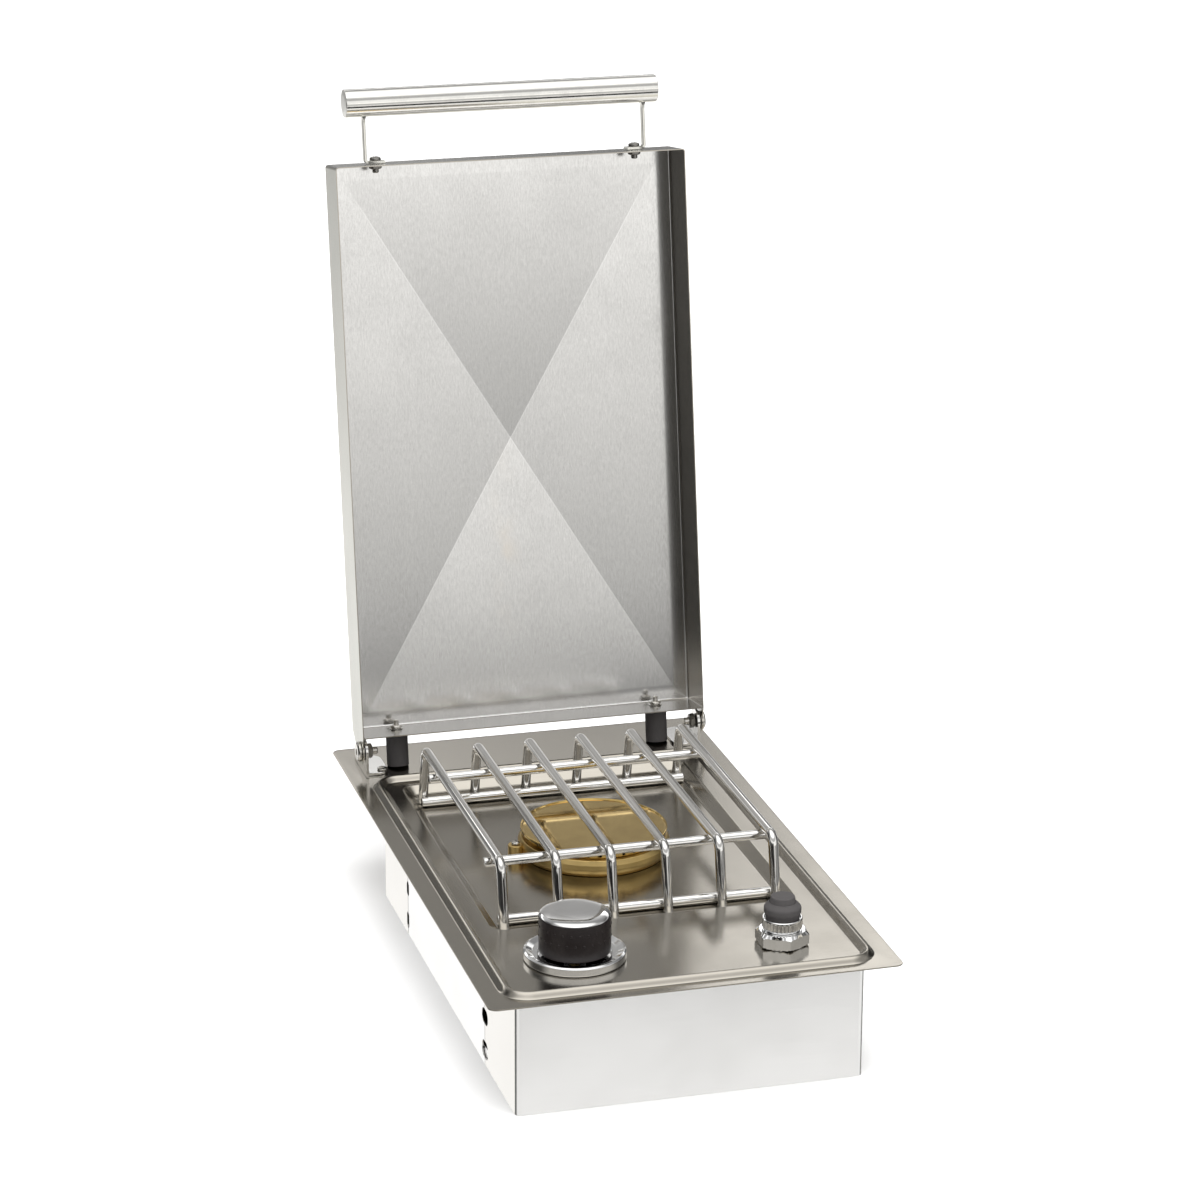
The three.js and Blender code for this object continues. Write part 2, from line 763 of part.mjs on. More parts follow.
function bumper() {
  const long = bumper_length + bumper_radius;
  const body = solidOf(turned([
    [0, gap], [bumper_radius - bumper_edge, gap], [bumper_radius, gap + bumper_edge],
    [bumper_radius, long], [0, long],
  ], middle_sides).rotateX(-Math.PI / 2));
  const trims = [bumper_lean, bumper_lean - THREE.MathUtils.degToRad(bumper_heel_relief)]
    .map((lean) => block(4 * bumper_radius, 2 * long, 4 * bumper_radius).translate(0, long, 0)
      .rotateX(lean).translate(0, bumper_length, 0));
  const bore = cylinder(stud_radius + slip, 0, bumper_bore_depth).rotateX(-Math.PI / 2);
  return cut(body, [...trims, bore]);
}

// A stud with its nut, the nut's seat at y = 0 and the stud running on towards +Y
function bumperStud() {
  const stud = cylinder(stud_radius, -stud_nut_height - stud_thread_end, lid_sheet + bumper_bore_depth - gap);
  return joined([stud, hexagon(stud_nut_flats, -stud_nut_height, 0)]);
}

for (const [name, side] of sides) {
  add(lid_group, `lid_bumper_${name}`, bumper(), black_rubber, side * bumper_offset, lid_rear, bumper_z);
  add(lid_group, `bumper_stud_${name}`, geometryOf(bumperStud()).rotateX(-Math.PI / 2), polished_steel,
    side * bumper_offset, lid_rear - lid_sheet - gap, bumper_z);
}

// Hinge brackets on the flange, with a shoulder bolt and nut on each pivot
function bracketUpright() {
  const shape = new THREE.Shape();
  shape.moveTo(-bracket_half_width, gap);
  shape.lineTo(bracket_foot_rear, gap);
  shape.lineTo(bracket_foot_rear, bracket_foot_rise);
  shape.lineTo(bracket_half_width, bracket_foot_rise);
  shape.absarc(0, hinge_height, bracket_half_width, 0, Math.PI);
  return sidePlate(shape, bracket_sheet);
}

function hingeBracket(side) {
  const inward = -side;
  const foot_depth = bracket_foot_front + bracket_foot_rear;
  const foot = plate(roundedRectangle(bracket_foot_width, foot_depth, bracket_foot_corner), bracket_sheet)
    .translate(inward * bracket_foot_width / 2, (bracket_foot_rear - bracket_foot_front) / 2, gap);
  const heel = block(bracket_foot_width / 2, foot_depth, bracket_sheet)
    .translate(inward * bracket_foot_width / 4, (bracket_foot_rear - bracket_foot_front) / 2,
      gap + bracket_sheet / 2);
  const upright = bracketUpright().translate(side > 0 ? -bracket_sheet : 0, 0, 0);
  const pivot = cylinder(pivot_radius + slip, -overrun, overrun).rotateY(Math.PI / 2)
    .translate(0, 0, hinge_height);
  const screw_hole = cylinder(screw_radius + slip, -overrun, overrun)
    .translate(inward * bracket_screw_inset, 0, 0);
  return cut(joined([upright, foot, heel]), [pivot, screw_hole]);
}

// The bolt is drawn along +X from the lid's outer side face at x = 0, head first
function pivotBolt() {
  const head = gap + pivot_head_height;
  const ear_end = -lid_sheet - gap;
  const shoulder_end = -lid_sheet - bracket_inset + gap;
  const tip = -lid_sheet - bracket_inset - bracket_sheet - gap - pivot_nut_height - pivot_thread_end;
  return turned([
    [0, tip], [pivot_radius, tip], [pivot_radius, shoulder_end], [pivot_shoulder_radius, shoulder_end],
    [pivot_shoulder_radius, ear_end], [pivot_radius, ear_end], [pivot_radius, gap],
    [pivot_head_radius, gap], [pivot_head_radius, head - pivot_head_edge],
    [pivot_head_radius - pivot_head_edge, head], [0, head],
  ], small_sides).rotateY(Math.PI / 2);
}

for (const [name, side] of sides) {
  const bolt = pivotBolt();
  const pivot_nut = geometryOf(nut(pivot_nut_flats, pivot_nut_height, pivot_radius + slip));
  add(top_group, `hinge_bracket_${name}`, hingeBracket(side), bright_steel,
    side * bracket_outer_x, hinge_y, 0);
  add(top_group, `pivot_bolt_${name}`, side > 0 ? bolt : bolt.rotateZ(Math.PI), polished_steel,
    side * lid_width / 2, hinge_y, hinge_height);
  add(top_group, `pivot_nut_${name}`, pivot_nut.rotateY(-side * Math.PI / 2), polished_steel,
    side * (bracket_inner_x - gap), hinge_y, hinge_height);
  add(top_group, `bracket_screw_${name}`,
    screw(screw_head_radius, screw_head_height, screw_radius, screw_length), polished_steel,
    side * (bracket_outer_x - bracket_screw_inset), hinge_y, 2 * gap + bracket_sheet);
}

// Cooking grate: six bent rods on two upper and two lower crossbars
const foot_z = floor_z + gap;
const rod_z = grate_top_height - rod_radius;
const foot_front_y = recess_front_y + recess_slope + grate_front_clearance + rod_radius;
const foot_rear_y = recess_rear_y - recess_slope - grate_rear_clearance - rod_radius;
const leg_front_y = foot_front_y + leg_splay;
const leg_rear_y = foot_rear_y - leg_splay;
const outer_rod_x = recess_floor_width / 2 - grate_side_clearance - rod_radius;
const rod_pitch = (2 * outer_rod_x) / (grate_rods - 1);
const leg_angle = Math.atan2(leg_splay, rod_z - foot_z);

const rod_line = [
  [foot_front_y, foot_z], [leg_front_y, rod_z], [leg_rear_y, rod_z], [foot_rear_y, foot_z],
].map(([y, z]) => new THREE.Vector3(0, y, z));

function grateRod() {
  const span = recess_rear_y - recess_front_y;
  const trim = block(4 * rod_radius, 2 * span, span).translate(0, recess_centre_y, foot_z - span / 2);
  const bent = tubeAlong(lengthened(bentPoints(rod_line, rod_bend), rod_radius), rod_radius);
  return cut(solidOf(bent), [trim]);
}

function crossbar(overhang) {
  const half = outer_rod_x + rod_radius + overhang;
  return cylinder(rod_radius, -half, half, rod_sides).rotateY(Math.PI / 2);
}

for (let index = 0; index < grate_rods; index += 1) {
  add(top_group, `grate_rod_${index + 1}`, grateRod(), polished_steel, -outer_rod_x + index * rod_pitch, 0, 0);
}
const upper_bar_z = rod_z - 2 * rod_radius - gap;
const lower_bar_z = foot_z + rod_radius;
const lower_bar_shift = (2 * rod_radius + gap) / Math.cos(leg_angle) + rod_radius * Math.tan(leg_angle);
add(top_group, 'grate_bar_upper_front', crossbar(upper_bar_overhang), polished_steel,
  0, leg_front_y + upper_bar_front_setback, upper_bar_z);
add(top_group, 'grate_bar_upper_rear', crossbar(upper_bar_overhang), polished_steel,
  0, leg_rear_y - upper_bar_rear_setback, upper_bar_z);
add(top_group, 'grate_bar_lower_front', crossbar(-lower_bar_overhang), polished_steel,
  0, foot_front_y + lower_bar_shift, lower_bar_z);
add(top_group, 'grate_bar_lower_rear', crossbar(-lower_bar_overhang), polished_steel,
  0, foot_rear_y - lower_bar_shift, lower_bar_z);

// Burner base, cap and screws, drawn round the burner's own axis
const base_bottom = floor_z + gap;
const cap_bottom = base_top + port_band_height;
const cap_top = cap_bottom + cap_thickness;

function burnerBase() {
  const throat_inner = throat_radius - throat_wall;
  const body = turned([
    [throat_inner, base_bottom - throat_drop], [throat_radius, base_bottom - throat_drop],
    [throat_radius, base_bottom], [base_foot_radius, base_bottom],
    [(base_foot_radius + 2 * base_radius) / 3, base_bottom + base_floor],
    [base_radius, 0], [base_radius, lug_top - base_floor / 2],
    [base_top_radius, base_top], [base_inner_radius, base_top],
    [base_inner_radius, base_bottom + base_floor], [throat_inner, base_bottom + base_floor],
  ]);
  const lugs = [];
  const holes = [cylinder(base_inner_radius, base_bottom + base_floor, cap_top, round_sides)];
  for (const [lugX, lugY] of lugPlaces()) {
    const lug = cylinder(lug_radius, base_bottom, lug_top).translate(lugX, lugY - burner_y, 0);
    lugs.push(lug);
    holes.push(cylinder(base_screw_radius + slip, base_bottom - overrun, lug_top + overrun)
      .translate(lugX, lugY - burner_y, 0));
    holes.push(cylinder(base_screw_head_radius + gap, lug_top, lug_top + overrun)
      .translate(lugX, lugY - burner_y, 0));
  }
  return cut(joined([body, ...lugs]), holes);
}

function burnerCap() {
  const lip_outer = base_inner_radius - gap;
  const lip_inner = lip_outer - cap_lip_wall;
  const body = turned([
    [0, cap_bottom], [lip_inner, cap_bottom], [lip_inner, base_top - cap_lip_drop],
    [lip_outer, base_top - cap_lip_drop], [lip_outer, base_top + gap],
    [port_band_radius, base_top + gap], [port_band_radius, cap_bottom],
    [cap_radius - cap_edge, cap_bottom], [cap_radius, cap_bottom + cap_edge],
    [cap_radius, cap_top - cap_edge], [cap_radius - cap_edge, cap_top],
    [cap_radius - cap_rim_width, cap_top - cap_rim_rise], [0, cap_top - cap_rim_rise],
  ]);
  const port_z = (base_top + gap + cap_bottom) / 2;
  const ports = [];
  for (let index = 0; index < port_count; index += 1) {
    ports.push(cylinder(port_radius, lip_inner - overrun, port_band_radius + overrun / 2, port_sides)
      .rotateY(Math.PI / 2).rotateZ((2 * Math.PI * index) / port_count).translate(0, 0, port_z));
  }
  return cut(solidOf(body), ports);
}

add(top_group, 'burner_base', burnerBase(), brass, 0, burner_y, 0);
add(top_group, 'burner_cap', burnerCap(), brass, 0, burner_y, 0);
lugPlaces().forEach(([lugX, lugY], index) => {
  add(top_group, `burner_screw_${['left', 'rear'][index]}`,
    screw(base_screw_head_radius, base_screw_head_height, base_screw_radius, base_screw_length),
    polished_steel, lugX, lugY, lug_top + gap);
});

// Gas way: valve under the knob, orifice, air shutter, venturi and the inlet line
const to_valve = new THREE.Vector3(knob_x, knob_y - burner_y, 0).normalize();
const valve_bearing = Math.atan2(-to_valve.y, -to_valve.x); // from the valve towards the burner
const venturi_z = -venturi_axis_drop;
const venturi_radius = throat_radius + slip + venturi_wall;

function alongVenturi(geometry) {
  return geometry.rotateY(Math.PI / 2).rotateZ(valve_bearing);
}

function venturiTube() {
  const mouth = new THREE.Vector3(knob_x, knob_y, venturi_z).addScaledVector(to_valve, -venturi_end_from_valve);
  const points = bentPoints([
    new THREE.Vector3(0, burner_y, floor_z - sheet - gap),
    new THREE.Vector3(0, burner_y, venturi_z),
    mouth,
  ], venturi_bend);
  return hollowTube(points, venturi_radius, venturi_wall, 2 * lead_sides);
}

// Drawn along Z from the valve's axis at z = 0, with the valve end first
function airShutter() {
  const inner = venturi_radius + slip;
  const start = valve_boss_reach + orifice_length / 2;
  const sleeve = turned([
    [orifice_radius + slip, start], [inner + shutter_wall, start],
    [inner + shutter_wall, venturi_end_from_valve + shutter_lap],
    [inner, venturi_end_from_valve + shutter_lap],
    [inner, start + shutter_wall], [orifice_radius + slip, start + shutter_wall],
  ], middle_sides);
  const window_z = start + shutter_wall + shutter_window_length / 2;
  const window_cut = block(4 * inner, shutter_window_width, shutter_window_length).translate(0, 0, window_z);
  return cut(solidOf(sleeve), [window_cut]);
}

function gasOrifice() {
  const start = valve_boss_reach + gap;
  return turned([
    [orifice_bore, start], [orifice_radius, start],
    [orifice_radius, start + orifice_length], [orifice_bore, start + orifice_length],
  ], small_sides);
}

function gasValve() {
  const flange_top = -sheet - gap;
  const barrel = turned([
    [0, -valve_drop], [valve_radius, -valve_drop], [valve_radius, flange_top - valve_flange_thickness],
    [valve_flange_radius, flange_top - valve_flange_thickness], [valve_flange_radius, flange_top],
    [0, flange_top],
  ], middle_sides);
  const outlet = alongVenturi(cylinder(valve_boss_radius, 0, valve_boss_reach)).translate(0, 0, venturi_z);
  const inlet = cylinder(valve_boss_radius, 0, valve_boss_reach)
    .rotateY(-Math.PI / 2).translate(0, 0, -valve_inlet_drop);
  const tools = [
    cylinder(collar_radius + slip, -collar_chamber_drop, 0),
    cylinder(stem_radius + slip, -valve_bore_drop, 0),
    alongVenturi(cylinder(orifice_bore, valve_radius / 2, valve_boss_reach + overrun, port_sides))
      .translate(0, 0, venturi_z),
    cylinder(pipe_radius - pipe_wall, valve_radius, valve_boss_reach + overrun)
      .rotateY(-Math.PI / 2).translate(0, 0, -valve_inlet_drop),
  ];
  return cut(joined([barrel, outlet, inlet]), tools);
}

function gasPipe() {
  const turn_x = inlet_x;
  const fitting_start = rear_face - sheet - gap - fitting_flange_thickness - fitting_body_length;
  const points = bentPoints([
    new THREE.Vector3(knob_x - valve_boss_reach - gap, knob_y, -valve_inlet_drop),
    new THREE.Vector3(turn_x, knob_y, -valve_inlet_drop),
    new THREE.Vector3(turn_x, fitting_start - gap, -valve_inlet_drop),
  ], pipe_bend);
  return hollowTube(points, pipe_radius, pipe_wall, rod_sides);
}

// Drawn along Z from the inner face of the rear panel at z = 0, towards the outside
function inletFitting() {
  const bore = pipe_radius - pipe_wall;
  const inside = -gap - fitting_flange_thickness - fitting_body_length;
  return turned([
    [bore, inside], [fitting_body_radius, inside], [fitting_body_radius, -gap - fitting_flange_thickness],
    [fitting_flange_radius, -gap - fitting_flange_thickness], [fitting_flange_radius, -gap],
    [fitting_thread_radius, -gap], [fitting_thread_radius, fitting_thread_length - fitting_cone],
    [fitting_thread_radius - fitting_cone, fitting_thread_length], [bore, fitting_thread_length],
  ], small_sides);
}

function valveStem() {
  const bore_top = knob_bore_top - gap;
  const stem = solidOf(cylinder(stem_radius, -stem_bottom_drop, bore_top));
  const flat = block(2 * stem_radius, 2 * stem_flat, knob_bore_top)
    .translate(0, stem_radius, knob_hub_bottom + knob_bore_top / 2);
  return cut(stem, [flat]);
}

function stemCollar() {
  return turned([
    [stem_radius + slip, -collar_start_drop - collar_height], [collar_radius, -collar_start_drop - collar_height],
    [collar_radius, -collar_start_drop], [stem_radius + slip, -collar_start_drop],
  ], 2 * small_sides);
}

add(top_group, 'venturi_tube', venturiTube(), cast_alloy);
add(top_group, 'air_shutter', geometryOf(airShutter()).rotateY(Math.PI / 2).rotateZ(valve_bearing),
  bright_steel, knob_x, knob_y, venturi_z);
add(top_group, 'gas_orifice', alongVenturi(gasOrifice()), brass, knob_x, knob_y, venturi_z);
add(top_group, 'gas_valve_body', gasValve(), cast_alloy, knob_x, knob_y, 0);
add(top_group, 'stem_collar', stemCollar(), cast_alloy, knob_x, knob_y, 0);
add(top_group, 'valve_stem', valveStem(), brass, knob_x, knob_y, 0);
add(top_group, 'gas_inlet_pipe', gasPipe(), cast_alloy);
add(side_burner, 'gas_inlet_fitting', inletFitting().rotateX(-Math.PI / 2), brass,
  inlet_x, rear_face - sheet, inlet_z);
add(side_burner, 'inlet_locknut',
  geometryOf(nut(locknut_flats, locknut_height, fitting_thread_radius + slip)).rotateX(-Math.PI / 2), brass,
  inlet_x, rear_face + gap, inlet_z);

// Knob, its polished cap and its chrome bezel
function knobBody() {
  return turned([
    [0, knob_bore_top], [stem_radius + slip, knob_bore_top], [stem_radius + slip, knob_hub_bottom],
    [knob_hub_radius, knob_hub_bottom], [knob_hub_radius, knob_top - knob_roof],
    [knob_radius - knob_wall, knob_top - knob_roof], [knob_radius - knob_wall, knob_bottom],
    [knob_radius - knob_edge, knob_bottom], [knob_radius, knob_bottom + knob_edge],
    [knob_radius, knob_top], [0, knob_top],
  ]);
}

function knobCap() {
  const bottom = knob_top + gap;
  const top = bottom + knob_cap_thickness;
  return turned([
    [0, bottom], [knob_cap_radius, bottom], [knob_cap_radius, top - knob_cap_edge],
    [knob_cap_radius - knob_cap_edge / 3, top - knob_cap_edge / 3],
    [knob_cap_radius - knob_cap_edge, top], [knob_cap_radius / 2, top + 0.75 * knob_cap_dome],
    [0, top + knob_cap_dome],
  ]);
}

function knobBezel() {
  return turned([
    [bezel_hole_radius, gap], [bezel_foot_radius, gap],
    [bezel_rim_radius, bezel_rim_height - bezel_rim_width], [bezel_rim_radius, bezel_rim_height],
    [bezel_rim_radius - bezel_rim_width, bezel_rim_height],
    [bezel_floor_radius, gap + bezel_thickness], [bezel_hole_radius, gap + bezel_thickness],
  ]);
}

add(top_group, 'knob_bezel', knobBezel(), chrome, knob_x, knob_y, 0);
add(top_group, 'knob_body', knobBody(), black_plastic, knob_x, knob_y, 0);
add(top_group, 'knob_cap', knobCap(), chrome, knob_x, knob_y, 0);

// Igniter: threaded body, hex nut, knurled collar, rubber boot and push button
function igniterNut() {
  const corner_radius = igniter_nut_flats / Math.sqrt(3);
  const flat_radius = igniter_nut_flats / 2;
  const chamfered = turned([
    [0, gap], [flat_radius, gap], [corner_radius, gap + igniter_nut_chamfer / 2],
    [corner_radius, igniter_nut_height - igniter_nut_chamfer],
    [flat_radius - igniter_nut_chamfer, igniter_nut_height], [0, igniter_nut_height],
  ]);
  const hex = solidOf(hexagon(igniter_nut_flats, gap, igniter_nut_height)
    .rotateZ(THREE.MathUtils.degToRad(igniter_nut_turn)));
  const bore = cylinder(igniter_barrel_radius + slip, -overrun, igniter_nut_height + overrun, middle_sides);
  return cut(hex.intersect(solidOf(chamfered)), [bore]);
}

function knurledCollar() {
  const outline = new THREE.Shape();
  for (let index = 0; index < 2 * knurl_teeth; index += 1) {
    const radius = knurl_radius - (index % 2) * knurl_tooth;
    const angle = (Math.PI * index) / knurl_teeth;
    const x = radius * Math.cos(angle);
    const y = radius * Math.sin(angle);
    if (index === 0) outline.moveTo(x, y);
    else outline.lineTo(x, y);
  }
  const ring = plate(outline, knurl_top - collar_neck_top).translate(0, 0, collar_neck_top);
  const neck = cylinder(collar_neck_radius, igniter_nut_height + gap, collar_neck_top + knurl_tooth, middle_sides);
  const bore = cylinder(igniter_barrel_radius + slip, 0, knurl_top + overrun, middle_sides);
  return cut(joined([ring, neck]), [bore]);
}

function igniterBoot() {
  const bottom = knurl_top + gap;
  const bulge_bottom = boot_bulge_height - boot_bulge_half;
  const bulge_top = boot_bulge_height + boot_bulge_half;
  const rise = boot_bulge_radius - boot_neck_radius;
  return turned([
    [button_radius + slip, bottom], [boot_neck_radius + rise / 2, bottom],
    [boot_bulge_radius - rise / 6, (bulge_bottom + 2 * bottom) / 3 + boot_bulge_half / 2],
    [boot_bulge_radius, boot_bulge_height],
    [boot_bulge_radius - rise / 6, (bulge_top + boot_bulge_height) / 2],
    [boot_neck_radius, bulge_top], [boot_neck_radius, boot_top], [button_radius + slip, boot_top],
  ], middle_sides);
}

function igniterButton() {
  return turned([
    [0, button_bottom], [button_radius, button_bottom], [button_radius, button_top - button_edge],
    [button_radius - button_edge / 3, button_top - button_edge / 3],
    [button_radius - button_edge, button_top], [0, button_top],
  ], middle_sides);
}

function igniterBody() {
  const flange_top = -sheet - gap;
  return turned([
    [0, -igniter_body_drop - terminal_length], [terminal_radius, -igniter_body_drop - terminal_length],
    [terminal_radius, -igniter_body_drop], [igniter_barrel_radius, -igniter_body_drop],
    [igniter_barrel_radius, flange_top - igniter_flange_thickness],
    [igniter_flange_radius, flange_top - igniter_flange_thickness], [igniter_flange_radius, flange_top],
    [igniter_barrel_radius, flange_top], [igniter_barrel_radius, igniter_barrel_top],
    [0, igniter_barrel_top],
  ], middle_sides);
}

add(top_group, 'igniter_body', igniterBody(), black_plastic, igniter_x, igniter_y, 0);
add(top_group, 'igniter_nut', igniterNut(), chrome, igniter_x, igniter_y, 0);
add(top_group, 'igniter_collar', knurledCollar(), chrome, igniter_x, igniter_y, 0);
add(top_group, 'igniter_boot', igniterBoot(), black_rubber, igniter_x, igniter_y, 0);
add(top_group, 'igniter_button', igniterButton(), black_rubber, igniter_x, igniter_y, 0);

// Electrode behind the burner and its lead across the bottom of the box
function electrodeCeramic() {
  const seat = floor_z + gap;
  return turned([
    [spark_radius + slip, -ceramic_drop], [ceramic_radius, -ceramic_drop], [ceramic_radius, seat],
    [ceramic_shoulder_radius, seat], [ceramic_shoulder_radius, seat + ceramic_shoulder_height],
    [ceramic_radius, seat + ceramic_shoulder_height], [ceramic_radius, ceramic_top],
    [spark_radius + slip, ceramic_top],
  ], small_sides);
}

function sparkRod() {
  const to_burner = new THREE.Vector3(electrode_x, electrode_y - burner_y, 0).normalize().negate();
  const top = new THREE.Vector3(0, 0, spark_height);
  return tubeAlong(bentPoints([
    new THREE.Vector3(0, 0, -ceramic_drop),
    top,
    top.clone().addScaledVector(to_burner, spark_reach),
  ], spark_bend), spark_radius, lead_sides);
}

function ignitionLead() {
  const run_z = -pan_top + sheet + lead_radius + gap;
  const side_x = Math.max(igniter_x, box_width / 2 - lead_wall_margin);
  return tubeAlong(bentPoints([
    new THREE.Vector3(igniter_x, igniter_y, -igniter_body_drop - terminal_length - gap),
    new THREE.Vector3(igniter_x, igniter_y, run_z),
    new THREE.Vector3(side_x, burner_y, run_z),
    new THREE.Vector3(electrode_x, electrode_y, run_z),
    new THREE.Vector3(electrode_x, electrode_y, -ceramic_drop - gap),
  ], lead_bend), lead_radius, lead_sides);
}

add(top_group, 'electrode_ceramic', electrodeCeramic(), ceramic_white, electrode_x, electrode_y, 0);
add(top_group, 'spark_rod', sparkRod(), polished_steel, electrode_x, electrode_y, 0);
add(top_group, 'ignition_lead', ignitionLead(), lead_red);

export default side_burner;
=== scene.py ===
"""Looks of the built in side burner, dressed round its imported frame.

Lengths are millimetres, but metres in the studio. +Z is up, -Y faces the cook and +X is the cook's
right. Heights of the top's own pieces are measured from the top face of the drawn pan.
"""

import logging
import math
from collections.abc import Callable, Iterable, Sequence
from dataclasses import dataclass, field, replace
from enum import Enum
from typing import Union

import bmesh
import bpy
from mathutils import Matrix, Vector


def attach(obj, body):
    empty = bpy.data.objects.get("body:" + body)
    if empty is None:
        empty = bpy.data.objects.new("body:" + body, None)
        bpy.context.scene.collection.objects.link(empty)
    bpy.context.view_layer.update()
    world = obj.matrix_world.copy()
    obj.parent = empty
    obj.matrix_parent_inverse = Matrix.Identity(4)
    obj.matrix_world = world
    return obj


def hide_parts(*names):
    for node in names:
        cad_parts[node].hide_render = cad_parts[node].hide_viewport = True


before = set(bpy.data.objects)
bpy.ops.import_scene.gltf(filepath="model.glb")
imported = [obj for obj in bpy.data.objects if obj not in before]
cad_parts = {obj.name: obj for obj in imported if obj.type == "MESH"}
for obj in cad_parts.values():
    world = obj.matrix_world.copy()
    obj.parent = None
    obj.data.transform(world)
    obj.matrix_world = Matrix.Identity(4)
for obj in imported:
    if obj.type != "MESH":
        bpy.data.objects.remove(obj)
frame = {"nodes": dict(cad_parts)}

MM = 0.001
TINY = 1e-6
FULL_TURN = 2 * math.pi
QUARTER_TURN = math.pi / 2
BEVEL_FROM = 40.0
log = logging.getLogger("side_burner")

Pair = tuple[float, float]
Triple = tuple[float, float, float]
Color = tuple[float, float, float]


class Step(Enum):
    """A Math node's operation."""

    ADD = "ADD"
    SUBTRACT = "SUBTRACT"
    MULTIPLY = "MULTIPLY"
    DIVIDE = "DIVIDE"
    ABSOLUTE = "ABSOLUTE"
    SQUARE_ROOT = "SQRT"
    ANGLE = "ARCTAN2"
    LEAST = "MINIMUM"
    MOST = "MAXIMUM"


class Grain(Enum):
    """The axis of a piece's own space that its polishing marks run along."""

    ALONG_X = 0
    ALONG_Y = 1
    ALONG_Z = 2


class Cut(Enum):
    """How one solid acts on another."""

    REMOVE = "DIFFERENCE"
    JOIN = "UNION"


class Wire:
    """A socket of a node tree that takes part in arithmetic."""

    def __init__(self, kit: "NodeKit", socket: bpy.types.NodeSocket) -> None:
        self.kit = kit
        self.socket = socket

    def step(self, step: Step, left: "Term", right: "Term" = 0.0) -> "Wire":
        """Add a Math node."""
        return self.kit.wire("ShaderNodeMath", {"operation": step.value}, {0: left, 1: right})

    def __add__(self, other: "Term") -> "Wire":
        """Add."""
        return self.step(Step.ADD, self, other)

    def __radd__(self, other: "Term") -> "Wire":
        """Add from the left."""
        return self.step(Step.ADD, other, self)

    def __sub__(self, other: "Term") -> "Wire":
        """Subtract."""
        return self.step(Step.SUBTRACT, self, other)

    def __rsub__(self, other: "Term") -> "Wire":
        """Subtract from the left."""
        return self.step(Step.SUBTRACT, other, self)

    def __mul__(self, other: "Term") -> "Wire":
        """Multiply."""
        return self.step(Step.MULTIPLY, self, other)

    def __rmul__(self, other: "Term") -> "Wire":
        """Multiply from the left."""
        return self.step(Step.MULTIPLY, other, self)

    def __truediv__(self, other: "Term") -> "Wire":
        """Divide."""
        return self.step(Step.DIVIDE, self, other)

    def __rtruediv__(self, other: "Term") -> "Wire":
        """Divide from the left."""
        return self.step(Step.DIVIDE, other, self)

    def __abs__(self) -> "Wire":
        """Drop the sign."""
        return self.step(Step.ABSOLUTE, self)

    def root(self) -> "Wire":
        """Take the square root."""
        return self.step(Step.SQUARE_ROOT, self)

    def angle(self, other: "Term") -> "Wire":
        """Take the angle whose sine and cosine are in the ratio of two values."""
        return self.step(Step.ANGLE, self, other)

    def at_least(self, other: "Term") -> "Wire":
        """Keep the larger value."""
        return self.step(Step.MOST, self, other)

    def at_most(self, other: "Term") -> "Wire":
        """Keep the smaller value."""
        return self.step(Step.LEAST, self, other)

    def held(self) -> "Wire":
        """Clamp between 0 and 1."""
        return self.at_least(0.0).at_most(1.0)

    def spread(self, low: float, high: float) -> "Wire":
        """Stretch the values from low to high over 0 to 1."""
        return ((self - low) * (1 / (high - low))).held()


Term = Union[Wire, float]
SocketValue = Union[Wire, float, Sequence[float]]


